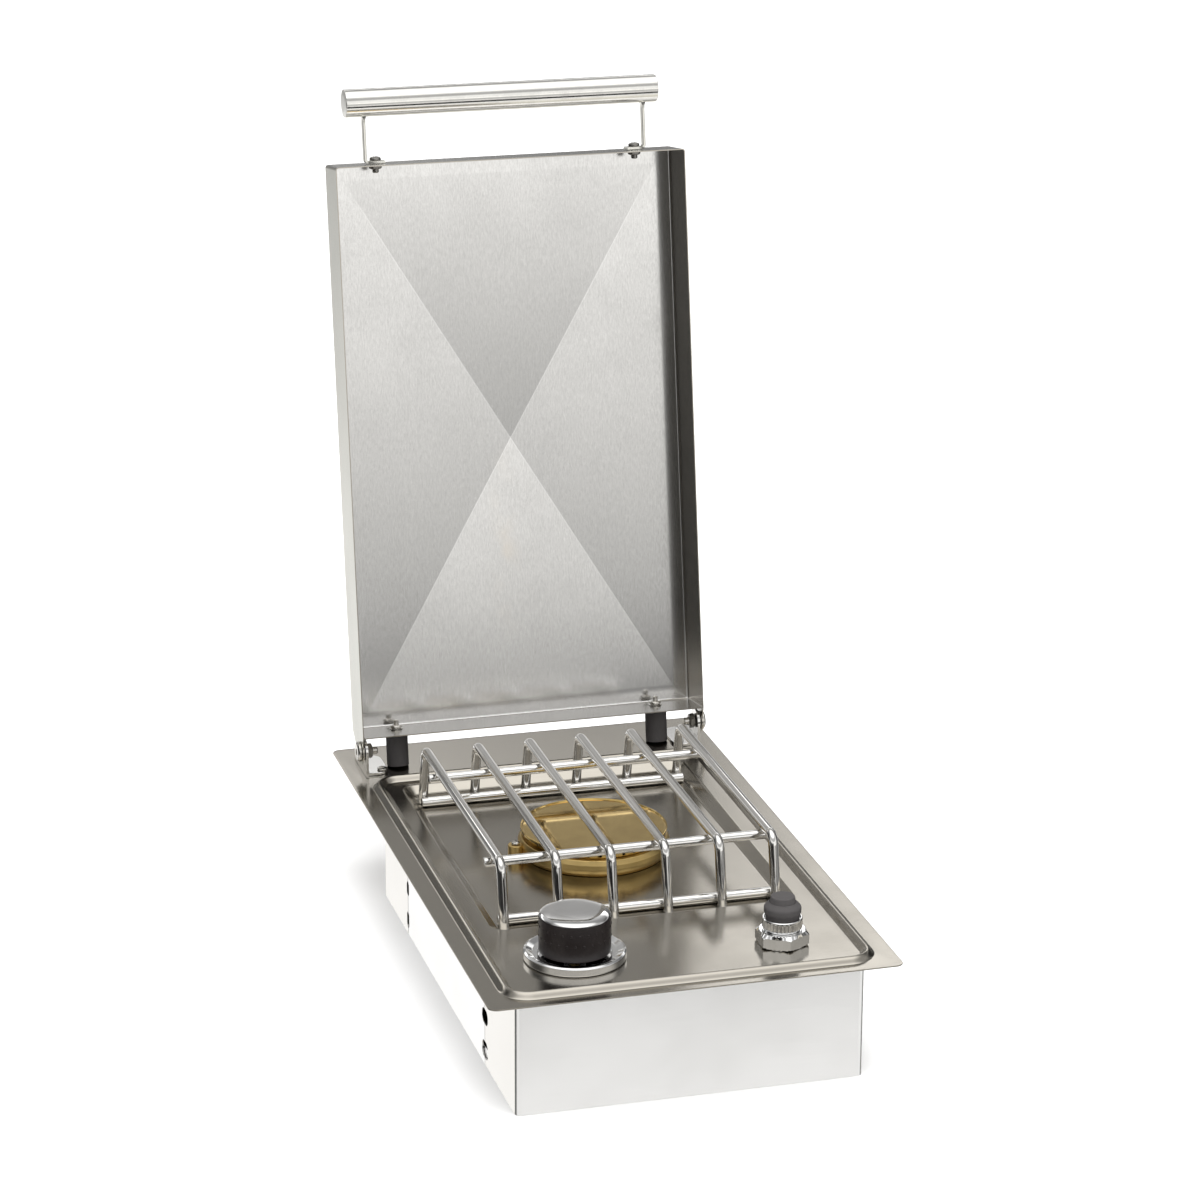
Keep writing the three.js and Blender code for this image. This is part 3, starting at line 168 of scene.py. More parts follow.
class NodeKit:
    """Adds nodes to one tree."""

    def __init__(self, tree: bpy.types.NodeTree) -> None:
        """Start on an emptied tree."""
        self.tree = tree
        tree.nodes.clear()

    def node(self, kind: str, settings: dict[str, object] | None = None,
             sockets: dict[int | str, SocketValue] | None = None) -> bpy.types.Node:
        """Add one node, its settings first and then its sockets.

        Args:
            kind: The node's type.
            settings: Properties of the node; stops is a ramp's list of places and colours.
            sockets: Values or wires for the inputs, by place or name.

        Returns:
            The node.
        """
        made = self.tree.nodes.new(kind)
        for name, value in (settings or {}).items():
            if name == "stops":
                self._set_stops(made, value)
            else:
                setattr(made, name, value)
        for key, value in (sockets or {}).items():
            if isinstance(value, Wire):
                self.tree.links.new(value.socket, made.inputs[key])
            else:
                made.inputs[key].default_value = value
        return made

    @staticmethod
    def _set_stops(ramp: bpy.types.Node, stops: Sequence[tuple[float, Color]]) -> None:
        """Fill a colour ramp.

        Args:
            ramp: The ramp node.
            stops: Places from 0 to 1 with their colours.
        """
        elements = ramp.color_ramp.elements
        while len(elements) < len(stops):
            elements.new(1.0)
        for element, (place, color) in zip(elements, stops):
            element.position = place
            element.color = (*color, 1.0)

    def wire(self, kind: str, settings: dict[str, object] | None = None,
             sockets: dict[int | str, SocketValue] | None = None, output: int | str = 0) -> Wire:
        """Add a node and take one of its outputs."""
        return Wire(self, self.node(kind, settings, sockets).outputs[output])

    def place(self) -> Wire:
        """Take the piece's own coordinates, in metres."""
        return self.wire("ShaderNodeTexCoord", output="Object")

    def parts(self, vector: Wire) -> tuple[Wire, Wire, Wire]:
        """Split a vector."""
        split = self.node("ShaderNodeSeparateXYZ", sockets={0: vector})
        return tuple(Wire(self, output) for output in split.outputs)

    def vector(self, x: Term, y: Term, z: Term) -> Wire:
        """Join three values into a vector."""
        return self.wire("ShaderNodeCombineXYZ", sockets={0: x, 1: y, 2: z})

    def stretched(self, vector: Wire, factors: Triple) -> Wire:
        """Scale a vector by a factor on each axis."""
        return self.wire("ShaderNodeVectorMath", {"operation": "MULTIPLY"}, {0: vector, 1: factors})

    def turned_about_x(self, vector: Wire, degrees: float) -> Wire:
        """Turn a vector about the X axis."""
        return self.wire("ShaderNodeMapping", sockets={
            "Vector": vector, "Rotation": (math.radians(degrees), 0.0, 0.0)})

    def noise(self, vector: Wire, scale: float, detail: float = 2.0, roughness: float = 0.5) -> Wire:
        """Add a noise texture."""
        return self.wire("ShaderNodeTexNoise", sockets={
            "Vector": vector, "Scale": scale, "Detail": detail, "Roughness": roughness})

    def blend(self, share: Term, first: SocketValue, second: SocketValue) -> Wire:
        """Blend two colours."""
        return self.wire("ShaderNodeMix", {"data_type": "RGBA"}, {
            0: share, 6: rgba(first), 7: rgba(second)}, output=2)

    def relief(self, height: Wire, depth: float, under: Wire | None = None) -> Wire:
        """Turn a height into a surface normal.

        Args:
            height: Values from 0 to 1.
            depth: The relief in millimetres between 0 and 1.
            under: The normal that it lies on, if it isn't the surface's own.

        Returns:
            The normal.
        """
        below = {"Normal": under} if under else {}
        return self.wire("ShaderNodeBump", sockets={
            "Strength": 1.0, "Distance": depth * MM, "Height": height, **below})


def rgba(value: SocketValue) -> SocketValue:
    """Give a plain colour the opaque fourth value that a colour socket wants."""
    return value if isinstance(value, Wire) else (*value, 1.0)


@dataclass(frozen=True)
class Finish:
    """What every surface finish has."""

    name: str
    slot: str
    color: Color
    roughness: float = 0.3
    metallic: float = 1.0

    def material(self) -> bpy.types.Material:
        """Find the finish's material, or make it.

        Returns:
            The material.
        """
        known = bpy.data.materials.get(self.name)
        if known:
            return known
        made = bpy.data.materials.new(self.name)
        made.use_nodes = True
        kit = NodeKit(made.node_tree)
        sockets = {"Metallic": self.metallic, "Base Color": rgba(self.color), "Roughness": self.roughness}
        sockets.update(self.surface(kit))
        shader = kit.wire("ShaderNodeBsdfPrincipled", sockets=sockets)
        kit.node("ShaderNodeOutputMaterial", sockets={"Surface": shader})
        made.diffuse_color = (*self.color, 1.0)
        return made

    def surface(self, kit: NodeKit) -> dict[str, SocketValue]:
        """Give the sockets that vary over the surface; each finish has its own."""
        return {}


@dataclass(frozen=True)
class GrainedSteel(Finish):
    """Rolled or brushed stainless sheet: fine lines one way and faint clouds."""

    grain: Grain = Grain.ALONG_Y
    line_length: float = 22.0
    line_width: float = 0.7
    line_contrast: float = 0.16
    line_depth: float = 0.012
    cloud_size: float = 60.0
    cloud_contrast: float = 0.1
    roughness_spread: float = 0.08
    shade: Color = (0.3, 0.28, 0.25)

    def lines(self, kit: NodeKit, place: Wire, scale: float) -> Wire:
        """Make streaks along the grain.

        Args:
            kit: The tree's kit.
            place: The piece's own coordinates.
            scale: Finer streaks for larger values.

        Returns:
            Streak values round one half.
        """
        factors = [scale / (self.line_width * MM)] * 3
        factors[self.grain.value] = scale / (self.line_length * MM)
        return kit.noise(kit.stretched(place, tuple(factors)), 1.0, detail=3.0, roughness=0.6)

    def surface(self, kit: NodeKit) -> dict[str, SocketValue]:
        """Grain and clouds in colour, roughness and relief.

        Args:
            kit: The tree's kit.

        Returns:
            The wired sockets.
        """
        place = self.coordinates(kit)
        coarse = self.lines(kit, place, 1.0)
        fine = self.lines(kit, place, 2.7)
        streaks = coarse * 0.6 + fine * 0.4
        clouds = kit.noise(place, 1 / (self.cloud_size * MM))
        share = ((streaks - 0.5) * (4 * self.line_contrast)
                 + (clouds - 0.5) * (4 * self.cloud_contrast) + self.line_contrast).held()
        spread = self.roughness + (clouds - 0.5) * self.roughness_spread + (streaks - 0.5) * self.roughness_spread
        return {
            "Base Color": self.tinted(kit, place, kit.blend(share, self.color, self.shade)),
            "Roughness": spread.held(),
            "Normal": self.relief(kit, place, streaks),
        }

    def coordinates(self, kit: NodeKit) -> Wire:
        """Take the piece's own coordinates; a finish on a tilted piece turns them here."""
        return kit.place()

    def relief(self, kit: NodeKit, place: Wire, streaks: Wire) -> Wire:
        """Raise the grain; a finish with a form of its own adds it here."""
        return kit.relief(streaks, self.line_depth)

    def tinted(self, kit: NodeKit, place: Wire, color: Wire) -> Wire:
        """Leave the colour as it is; a finish with a pattern of its own changes it here."""
        return color


@dataclass(frozen=True)
class CrossBrokenSteel(GrainedSteel):
    """The lid's panel: grain along its length, and facets that bow towards the crossing of its folds."""

    swing: float = -99.0
    fold_half_width_x: float = 127.0
    fold_half_length_y: float = 212.0
    fold_centre_y: float = -238.0
    fold_line: float = 0.9
    # colour of the painted highlight along the fold lines
    painted_fold_highlight: Color = (0.95, 0.95, 0.94)
    heat_tint: Color = (0.78, 0.72, 0.64)
    stain_place: Pair = (-8.0, -150.0)
    stain_reach: Pair = (14.0, 90.0)
    bow: float = -2.0

    def coordinates(self, kit: NodeKit) -> Wire:
        """Turn the place back into the closed lid's own frame."""
        return kit.turned_about_x(kit.place(), -self.swing)

    def facet(self, kit: NodeKit, place: Wire) -> tuple[Wire, Wire]:
        """Measure how far out a point lies, as shares of the panel's half width and half length.

        Args:
            kit: The tree's kit.
            place: The lid's own coordinates.

        Returns:
            The two shares.
        """
        x, y, _ = kit.parts(place)
        across = abs(x) * (1 / (self.fold_half_width_x * MM))
        along = abs(y - self.fold_centre_y * MM) * (1 / (self.fold_half_length_y * MM))
        return across, along

    def relief(self, kit: NodeKit, place: Wire, streaks: Wire) -> Wire:
        """Bow the facets under the grain.

        Args:
            kit: The tree's kit.
            place: The lid's own coordinates.
            streaks: The grain.

        Returns:
            The normal.
        """
        across, along = self.facet(kit, place)
        inward = 1 - across.at_least(along).at_most(1.0)
        return kit.relief(streaks, self.line_depth, kit.relief(inward * inward * self.bow, 1.0))

    def tinted(self, kit: NodeKit, place: Wire, color: Wire) -> Wire:
        """Paint a highlight along the folds and warm one faint stain along the grain.

        Args:
            kit: The tree's kit.
            place: The lid's own coordinates.
            color: The grained colour.

        Returns:
            The changed colour.
        """
        x, y, _ = kit.parts(place)
        across, along = self.facet(kit, place)
        off_line = abs(across - along) * (self.fold_half_width_x / self.fold_line)
        inside = 1 - across.at_least(along).spread(0.82, 0.97)
        # painted highlight along the fold lines, fading out towards the panel's edges
        line = (1 - off_line).held() * inside * 0.5
        stain_x, stain_y = (1 - (abs(value - place_at * MM) * (1 / (reach * MM))).held()
                            for value, place_at, reach in zip((x, y), self.stain_place, self.stain_reach))
        stain = stain_x * stain_y * kit.noise(place, 45.0, detail=3.0).spread(0.42, 0.7) * 0.5
        return kit.blend(line, kit.blend(stain, color, self.heat_tint), self.painted_fold_highlight)


@dataclass(frozen=True)
class PolishedMetal(Finish):
    """Bright rod, tube or plate with faint polishing lines and handling marks."""

    grain: Grain = Grain.ALONG_Z
    shade: Color = (0.55, 0.54, 0.52)
    haze: float = 0.06
    line_width: float = 0.5
    line_length: float = 18.0
    line_depth: float = 0.004

    def surface(self, kit: NodeKit) -> dict[str, SocketValue]:
        """Faint lines, smudges and haze.

        Args:
            kit: The tree's kit.

        Returns:
            The wired sockets.
        """
        place = kit.place()
        factors = [1 / (self.line_width * MM)] * 3
        factors[self.grain.value] = 1 / (self.line_length * MM)
        lines = kit.noise(kit.stretched(place, tuple(factors)), 1.0)
        smudges = kit.noise(place, 55.0, detail=3.0, roughness=0.6)
        worn = smudges.spread(0.45, 0.75)
        return {
            "Base Color": kit.blend(worn * 0.25 + (lines - 0.4).held() * 0.5, self.color, self.shade),
            "Roughness": (self.roughness + worn * self.haze + (lines - 0.5) * self.haze).held(),
            "Normal": kit.relief(lines, self.line_depth),
        }


@dataclass(frozen=True)
class TurnedBrass(Finish):
    """Brass from the lathe: fine rings, a darker tone in the hollows of the clouds."""

    shade: Color = (0.36, 0.235, 0.075)
    ring_width: float = 0.6
    ring_depth: float = 0.006
    tarnish_size: float = 22.0

    def surface(self, kit: NodeKit) -> dict[str, SocketValue]:
        """Rings about the piece's own axis and patches of tarnish.

        Args:
            kit: The tree's kit.

        Returns:
            The wired sockets.
        """
        place = kit.place()
        x, y, z = kit.parts(place)
        radius = (x * x + y * y).root()
        rings = kit.noise(kit.vector(radius, 0.0, z * 0.5), 1 / (self.ring_width * MM))
        tarnish = kit.noise(place, 1 / (self.tarnish_size * MM), detail=4.0, roughness=0.6)
        share = (tarnish.spread(0.42, 0.8) * 0.5 + (rings - 0.5) * 0.35).held()
        return {
            "Base Color": kit.blend(share, self.color, self.shade),
            "Roughness": (self.roughness * (1 + (tarnish - 0.5) * 0.5 + (rings - 0.5) * 0.3)).held(),
            "Normal": kit.relief(rings, self.ring_depth),
        }


@dataclass(frozen=True)
class CastMetal(Finish):
    """Cast or drawn alloy with a fine pebbled skin."""

    shade: Color = (0.3, 0.3, 0.3)
    grain_size: float = 1.2
    grain_depth: float = 0.08

    def surface(self, kit: NodeKit) -> dict[str, SocketValue]:
        """Pebbled relief with darker hollows.

        Args:
            kit: The tree's kit.

        Returns:
            The wired sockets.
        """
        place = kit.place()
        pebbles = kit.noise(place, 1 / (self.grain_size * MM), detail=3.0, roughness=0.6)
        clouds = kit.noise(place, 40.0)
        return {
            "Base Color": kit.blend((1 - pebbles.spread(0.3, 0.6)) * 0.6 + clouds * 0.2, self.color, self.shade),
            "Roughness": (self.roughness + (clouds - 0.5) * 0.3).held(),
            "Normal": kit.relief(pebbles, self.grain_depth),
        }


@dataclass(frozen=True)
class Moulded(Finish):
    """Rubber, plastic, sleeve or ceramic with a fine skin, dust and scuffs."""

    metallic: float = 0.0
    shade: Color = (0.1, 0.095, 0.09)
    skin_size: float = 0.5
    skin_depth: float = 0.02
    dust: float = 0.25
    coat: float = 0.0
    shine: float = 0.5

    def surface(self, kit: NodeKit) -> dict[str, SocketValue]:
        """Skin relief with lighter dusty patches.

        Args:
            kit: The tree's kit.

        Returns:
            The wired sockets.
        """
        place = kit.place()
        skin = kit.noise(place, 1 / (self.skin_size * MM))
        dust = kit.noise(place, 90.0, detail=4.0, roughness=0.65).spread(0.48, 0.78)
        return {
            "Base Color": kit.blend(dust * self.dust, self.color, self.shade),
            "Roughness": (self.roughness + dust * 0.12 + (skin - 0.5) * 0.15).held(),
            "Normal": kit.relief(skin, self.skin_depth),
            "Coat Weight": self.coat,
            "Coat Roughness": 0.12,
            "Specular IOR Level": self.shine,
        }


@dataclass(frozen=True)
class Paint(Finish):
    """Flat paint with a soft mottle, for the studio."""

    roughness: float = 0.9
    metallic: float = 0.0
    mottle: float = 0.0

    def surface(self, kit: NodeKit) -> dict[str, SocketValue]:
        """Mottle the colour.

        Args:
            kit: The tree's kit.

        Returns:
            The wired sockets.
        """
        sockets = {"Specular IOR Level": 0.1}
        if self.mottle:
            clouds = kit.noise(kit.place(), 1.6)
            sockets["Base Color"] = kit.blend(clouds * self.mottle, self.color,
                                              tuple(0.97 * value for value in self.color))
        return sockets


PAN_STEEL = GrainedSteel("pan_steel", "satin_steel", (0.415, 0.39, 0.345), 0.19, grain=Grain.ALONG_X,
                         line_length=14.0, line_width=0.8, line_contrast=0.1, line_depth=0.006,
                         shade=(0.29, 0.27, 0.235), cloud_size=45.0, roughness_spread=0.07)
LID_INSIDE = CrossBrokenSteel("lid_inside", "satin_steel", (0.8, 0.795, 0.785), 0.17, line_length=5.0,
                              line_width=1.1, line_contrast=0.5, line_depth=0.004, shade=(0.6, 0.595, 0.585))
LID_OUTSIDE = replace(LID_INSIDE, name="lid_outside", bow=2.0)
# Darker copies of the lid's steel for its skirts: painted shade on the inner faces, the ends' inner faces and the free
# edge.
SKIRT_INSIDE_SHADE = GrainedSteel("lid_skirt_inside_painted_shade", "satin_steel", (0.5, 0.47, 0.42), 0.24, grain=Grain.ALONG_Z,
                            line_contrast=0.12, shade=(0.35, 0.33, 0.3))
SKIRT_ENDS_SHADE = GrainedSteel("lid_skirt_ends_painted_shade", "satin_steel", (0.42, 0.41, 0.39), 0.22, grain=Grain.ALONG_X,
                          line_contrast=0.12, shade=(0.31, 0.3, 0.285))
# A darker copy of the lid's steel: painted shade on the side skirts' outer faces.
SKIRT_OUTSIDE_SHADE = GrainedSteel("lid_skirt_outside_painted_shade", "satin_steel", (0.52, 0.515, 0.465), 0.22, grain=Grain.ALONG_Z,
                             line_contrast=0.1, shade=(0.42, 0.415, 0.38))
# A near-black copy of the box steel: painted shade on the faces that look into the box.
BOX_INSIDE_SHADE = GrainedSteel("box_inside_painted_shade", "bright_steel", (0.12, 0.115, 0.105), 0.4, grain=Grain.ALONG_X,
                          line_contrast=0.1, shade=(0.08, 0.075, 0.07))
BOX_STEEL = GrainedSteel("box_steel", "bright_steel", (0.84, 0.835, 0.825), 0.22, grain=Grain.ALONG_X,
                         line_length=30.0, line_width=0.6, line_contrast=0.07, line_depth=0.006,
                         shade=(0.68, 0.675, 0.66), roughness_spread=0.05)
PANEL_STEEL = replace(BOX_STEEL, name="side_panel_steel", roughness=0.24, grain=Grain.ALONG_Y)
# A darker copy of the box steel: painted shade on the wraps' outer faces at the left and the right.
WRAP_SIDE_SHADE = replace(BOX_STEEL, name="wrap_side_painted_shade", color=(0.74, 0.72, 0.685), grain=Grain.ALONG_Y,
                     shade=(0.6, 0.585, 0.55))
BRACKET_STEEL = GrainedSteel("bracket_steel", "bright_steel", (0.8, 0.79, 0.77), 0.16, line_length=8.0,
                             line_width=0.4, line_contrast=0.08, line_depth=0.004, shade=(0.6, 0.59, 0.57))
ROD_STEEL = PolishedMetal("rod_steel", "polished_steel", (0.83, 0.82, 0.8), 0.09)
BAR_STEEL = PolishedMetal("handle_steel", "polished_steel", (0.82, 0.81, 0.775), 0.12, haze=0.05,
                          line_width=0.7, line_length=60.0, line_depth=0.008)
STRAP_STEEL = PolishedMetal("strap_steel", "polished_steel", (0.72, 0.71, 0.66), 0.2, haze=0.08)
FASTENER_STEEL = PolishedMetal("fastener_steel", "polished_steel", (0.68, 0.66, 0.62), 0.2, haze=0.12,
                               shade=(0.3, 0.29, 0.26))
DARK_FASTENER = PolishedMetal("nut_steel", "polished_steel", (0.34, 0.33, 0.31), 0.3, haze=0.15,
                              shade=(0.12, 0.11, 0.1))
CAP_STEEL = PolishedMetal("knob_cap_steel", "chrome", (0.8, 0.8, 0.8), 0.05, haze=0.04, line_depth=0.002)
COLLAR_CHROME = replace(CAP_STEEL, name="collar_chrome", roughness=0.1, haze=0.06, line_depth=0.003)
CHROME = PolishedMetal("chrome_plate", "chrome", (0.86, 0.865, 0.87), 0.05, haze=0.05, line_depth=0.002)
BRASS = TurnedBrass("burner_brass", "brass", (0.72, 0.53, 0.22), 0.33)
FITTING_BRASS = TurnedBrass("fitting_brass", "brass", (0.62, 0.46, 0.22), 0.34, tarnish_size=12.0)
CAP_BRASS = TurnedBrass("cap_brass", "brass", (0.7, 0.51, 0.2), 0.06)
# Near-black brass: painted shade on the walls inside the ports.
PORT_SHADE_BRASS = TurnedBrass("port_painted_shade_brass", "brass", (0.2, 0.15, 0.08), 0.5, shade=(0.07, 0.055, 0.04))
CAST_ALLOY = CastMetal("cast_alloy", "cast_alloy", (0.56, 0.56, 0.56), 0.48)
RUBBER = Moulded("black_rubber", "black_rubber", (0.014, 0.012, 0.012), 0.5, shade=(0.05, 0.046, 0.043),
                 shine=0.35)
KNOB_PLASTIC = Moulded("knob_plastic", "black_plastic", (0.012, 0.009, 0.009), 0.34,
                       shade=(0.04, 0.034, 0.032), skin_size=0.35, shine=0.35)
IGNITER_PLASTIC = Moulded("igniter_plastic", "black_plastic", (0.025, 0.024, 0.025), 0.5)
CERAMIC = Moulded("white_ceramic", "ceramic", (0.86, 0.84, 0.79), 0.3, shade=(0.55, 0.48, 0.38),
                  skin_depth=0.01, coat=0.6)
SLEEVE = Moulded("red_sleeve", "lead_sleeve", (0.3, 0.045, 0.035), 0.5, shade=(0.16, 0.04, 0.035))
FLOOR_PAINT = Paint("floor_paint", "paint", (0.95, 0.95, 0.95), mottle=0.25)
FLAG_PAINT = Paint("flag_paint", "paint", (0.02, 0.02, 0.02))


# Places shared by the assemblies, in millimetres
PAN_TOP = 92.0
KNOB_X, KNOB_Y = -71.0, -153.0
IGNITER_X, IGNITER_Y = 79.9, -166.4
BURNER_Y = 52.0068
HINGE_Y, HINGE_HEIGHT, LID_SWING = 238.0, 19.5, -99.0
RECESS_FLOOR = -6.0
LUG_PLACES = ((-61.5, 0.0), (23.038, 57.022))
SIDES = (("left", -1), ("right", 1))


def at(x: float, y: float, z: float) -> Matrix:
    """Give the frame at a point, in millimetres from the top face of the pan."""
    return Matrix.Translation(Vector((x, y, z + PAN_TOP)) * MM)


TOP = at(0, 0, 0)
KNOB = at(KNOB_X, KNOB_Y, 0)
IGNITER = at(IGNITER_X, IGNITER_Y, 0)
BURNER = at(0, BURNER_Y, 0)
LID = at(0, HINGE_Y, HINGE_HEIGHT) @ Matrix.Rotation(math.radians(LID_SWING), 4, "X")
GROUND = Matrix.Identity(4)

# The moves that stand a level outline up, its thickness along X or along Y
ALONG_X = Matrix(((0, 0, 1, 0), (1, 0, 0, 0), (0, 1, 0, 0), (0, 0, 0, 1)))
ALONG_Y = Matrix(((1, 0, 0, 0), (0, 0, 1, 0), (0, 1, 0, 0), (0, 0, 0, 1)))


def on_lid(x: float, y: float, z: float) -> Matrix:
    """Give the lid's frame moved to a point of the lid, in millimetres."""
    return LID @ Matrix.Translation(Vector((x, y, z)) * MM)


def rounded(corners: Sequence[Sequence[float]], size: int = 2, closed: bool = False,
            steps: int = 5) -> list[Vector]:
    """Round the corners of a path.

    Args:
        corners: Corner points, each with its radius after its coordinates if it is rounded.
        size: How many coordinates a corner has.
        closed: Whether the last corner joins the first.
        steps: Steps in each arc.

    Returns:
        The points of the path.
    """
    made: list[Vector] = []
    count = len(corners)
    for index, corner in enumerate(corners):
        here = Vector(corner[:size])
        radius = corner[size] if len(corner) > size else 0.0
        if radius <= 0 or not (closed or 0 < index < count - 1):
            made.append(here)
            continue
        back = Vector(corners[index - 1][:size]) - here
        ahead = Vector(corners[(index + 1) % count][:size]) - here
        half = math.acos(max(-1.0, min(1.0, back.normalized().dot(ahead.normalized())))) / 2
        if half > QUARTER_TURN - 0.01:
            made.append(here)
            continue
        reach = min(radius / math.tan(half), 0.49 * back.length, 0.49 * ahead.length)
        middle = (back.normalized() + ahead.normalized()).normalized()
        centre = here + middle * (reach / math.cos(half))
        first = here + back.normalized() * reach - centre
        last = here + ahead.normalized() * reach - centre
        sweep = math.pi - 2 * half
        for step in range(steps + 1):
            share = step / steps
            made.append(centre + (first * math.sin((1 - share) * sweep) + last * math.sin(share * sweep))
                        / math.sin(sweep))
    return made


def level_loop(half_x: float, half_y: float, corner: float, middle: Pair, height: float,
               steps: int = 8) -> list[Vector]:
    """Make a level rounded rectangle.

    Args:
        half_x: Half its width.
        half_y: Half its depth.
        corner: Its corner radius.
        middle: Its centre.
        height: Its height.
        steps: Steps in each corner.

    Returns:
        Its points, counter-clockwise from the corner at +X +Y.
    """
    points = []
    for quarter, (way_x, way_y) in enumerate(((1, 1), (-1, 1), (-1, -1), (1, -1))):
        for step in range(steps + 1):
            angle = QUARTER_TURN * (quarter + step / steps)
            points.append(Vector((
                middle[0] + way_x * (half_x - corner) + corner * math.cos(angle),
                middle[1] + way_y * (half_y - corner) + corner * math.sin(angle), height)))
    return points


def hexagon_radius(flats: float, angle: float) -> float:
    """Give a hexagon's radius at an angle; its corners lie at multiples of 60 degrees."""
    return flats / 2 / math.cos(math.fmod(angle, math.pi / 3) - math.pi / 6)


def lobed_ring(radius_at: Callable[[float], float], height: float, steps: int) -> list[Triple]:
    """Make a level loop about Z whose radius depends on the angle.

    Args:
        radius_at: The radius at an angle.
        height: The loop's height.
        steps: Steps round it.

    Returns:
        Its points.
    """
    points = []
    for step in range(steps):
        angle = FULL_TURN * step / steps
        points.append((radius_at(angle) * math.cos(angle), radius_at(angle) * math.sin(angle), height))
    return points


def ring(radius: float, height: float, steps: int) -> list[Triple]:
    """Make a level circle about Z."""
    return lobed_ring(lambda angle: radius, height, steps)


class Form:
    """The points and faces of a solid, in millimetres."""

    def __init__(self) -> None:
        """Start empty."""
        self.points: list[Vector] = []
        self.faces: list[tuple[int, ...]] = []

    def row(self, points: Iterable[Sequence[float]]) -> list[int]:
        """Add a row of points.

        Args:
            points: The points.

        Returns:
            Their places in the list.
        """
        start = len(self.points)
        self.points.extend(Vector(point) for point in points)
        return list(range(start, len(self.points)))

    def bridge(self, first: Sequence[int], second: Sequence[int]) -> None:
        """Join two closed rows of equal count with quads.

        Args:
            first: One row.
            second: The other row.
        """
        for index, corner in enumerate(first):
            after = (index + 1) % len(first)
            self.faces.append((corner, first[after], second[after], second[index]))

    def fan(self, row: Sequence[int], tip: Sequence[float]) -> None:
        """Close a row with triangles to one point.

        Args:
            row: The row.
            tip: The point.
        """
        point = self.row([tip])[0]
        for index, corner in enumerate(row):
            self.faces.append((corner, row[(index + 1) % len(row)], point))

    @classmethod
    def loft(cls, loops: Sequence[Sequence[Sequence[float]]], closed: bool = False) -> "Form":
        """Join loops of equal count in order.

        Args:
            loops: The loops.
            closed: Whether the last joins the first; otherwise both ends are capped.

        Returns:
            The form.
        """
        form = cls()
        rows = [form.row(loop) for loop in loops]
        for first, second in zip(rows, rows[1:]):
            form.bridge(first, second)
        if closed:
            form.bridge(rows[-1], rows[0])
        else:
            form.faces += [tuple(rows[0]), tuple(rows[-1])]
        return form

    @classmethod
    def turned(cls, outline: Sequence[Sequence[float]], steps: int = 96) -> "Form":
        """Turn an outline of radii and heights about Z.

        Args:
            outline: A closed outline, or one that starts and ends on the axis.
            steps: Steps round the axis.

        Returns:
            The form.
        """
        form = cls()
        solid = outline[0][0] < TINY
        body = outline[1:-1] if solid else outline
        rows = [form.row(ring(radius, height, steps)) for radius, height in body]
        for first, second in zip(rows, rows[1:]):
            form.bridge(first, second)
        if solid:
            form.fan(rows[0], (0, 0, outline[0][1]))
            form.fan(rows[-1], (0, 0, outline[-1][1]))
        else:
            form.bridge(rows[-1], rows[0])
        return form

    @classmethod
    def prism(cls, outline: Sequence[Sequence[float]], low: float, high: float) -> "Form":
        """Raise a level outline."""
        return cls.loft([[(point[0], point[1], height) for point in outline] for height in (low, high)])

    @classmethod
    def block(cls, low: Triple, high: Triple) -> "Form":
        """Make a box between two corners; it serves as a cutting tool."""
        return cls.prism([(low[0], low[1]), (high[0], low[1]), (high[0], high[1]), (low[0], high[1])],
                         low[2], high[2])

    @classmethod
    def rod(cls, radius: float, low: float, high: float, steps: int = 48) -> "Form":
        """Make a round pin along Z; it serves as a cutting tool."""
        return cls.turned([(0, low), (radius, low), (radius, high), (0, high)], steps)

    @classmethod
    def swept(cls, path: Sequence[Vector], radius: float, edge: float,
              floor: float | None = None) -> "Form":
        """Sweep a circle along a path that lies in one plane.

        Args:
            path: The centre line.
            radius: The circle's radius.
            edge: How far the end edges are rounded.
            floor: The height that both ends are cut at, if any.

        Returns:
            The form.
        """
        sides = 32
        ways = [(after - before).normalized() for before, after in zip(path, path[1:])]
        tangents = [ways[0]] + [(one + two).normalized() for one, two in zip(ways, ways[1:])] + [ways[-1]]
        side = ways[0].cross(Vector((0, 0, 1)))
        if side.length < 0.01:
            side = ways[0].cross(Vector((1, 0, 0)))
        loops = []
        for place, tangent in zip(path, tangents):
            across = (side - tangent * side.dot(tangent)).normalized()
            other = tangent.cross(across)
            loops.append([place + (across * math.cos(FULL_TURN * step / sides)
                                   + other * math.sin(FULL_TURN * step / sides)) * radius
                          for step in range(sides)])
        if floor is not None:
            for loop, way in ((loops[0], ways[0]), (loops[-1], ways[-1])):
                loop[:] = [point + way * ((floor - point.z) / way.z) for point in loop]
        for end, way in ((0, -ways[0]), (-1, ways[-1])):
            outer, centre = loops[end], path[end]
            loops[end] = [point - way * edge for point in outer]
            lip = [outer_point + (centre - outer_point).normalized() * edge for outer_point in outer]
            middle = [point - way * (edge * 0.3) + (centre - point).normalized() * (edge * 0.3) for point in outer]
            if end == 0:
                loops[:0] = [lip, middle]
            else:
                loops += [middle, lip]
        return cls.loft(loops)

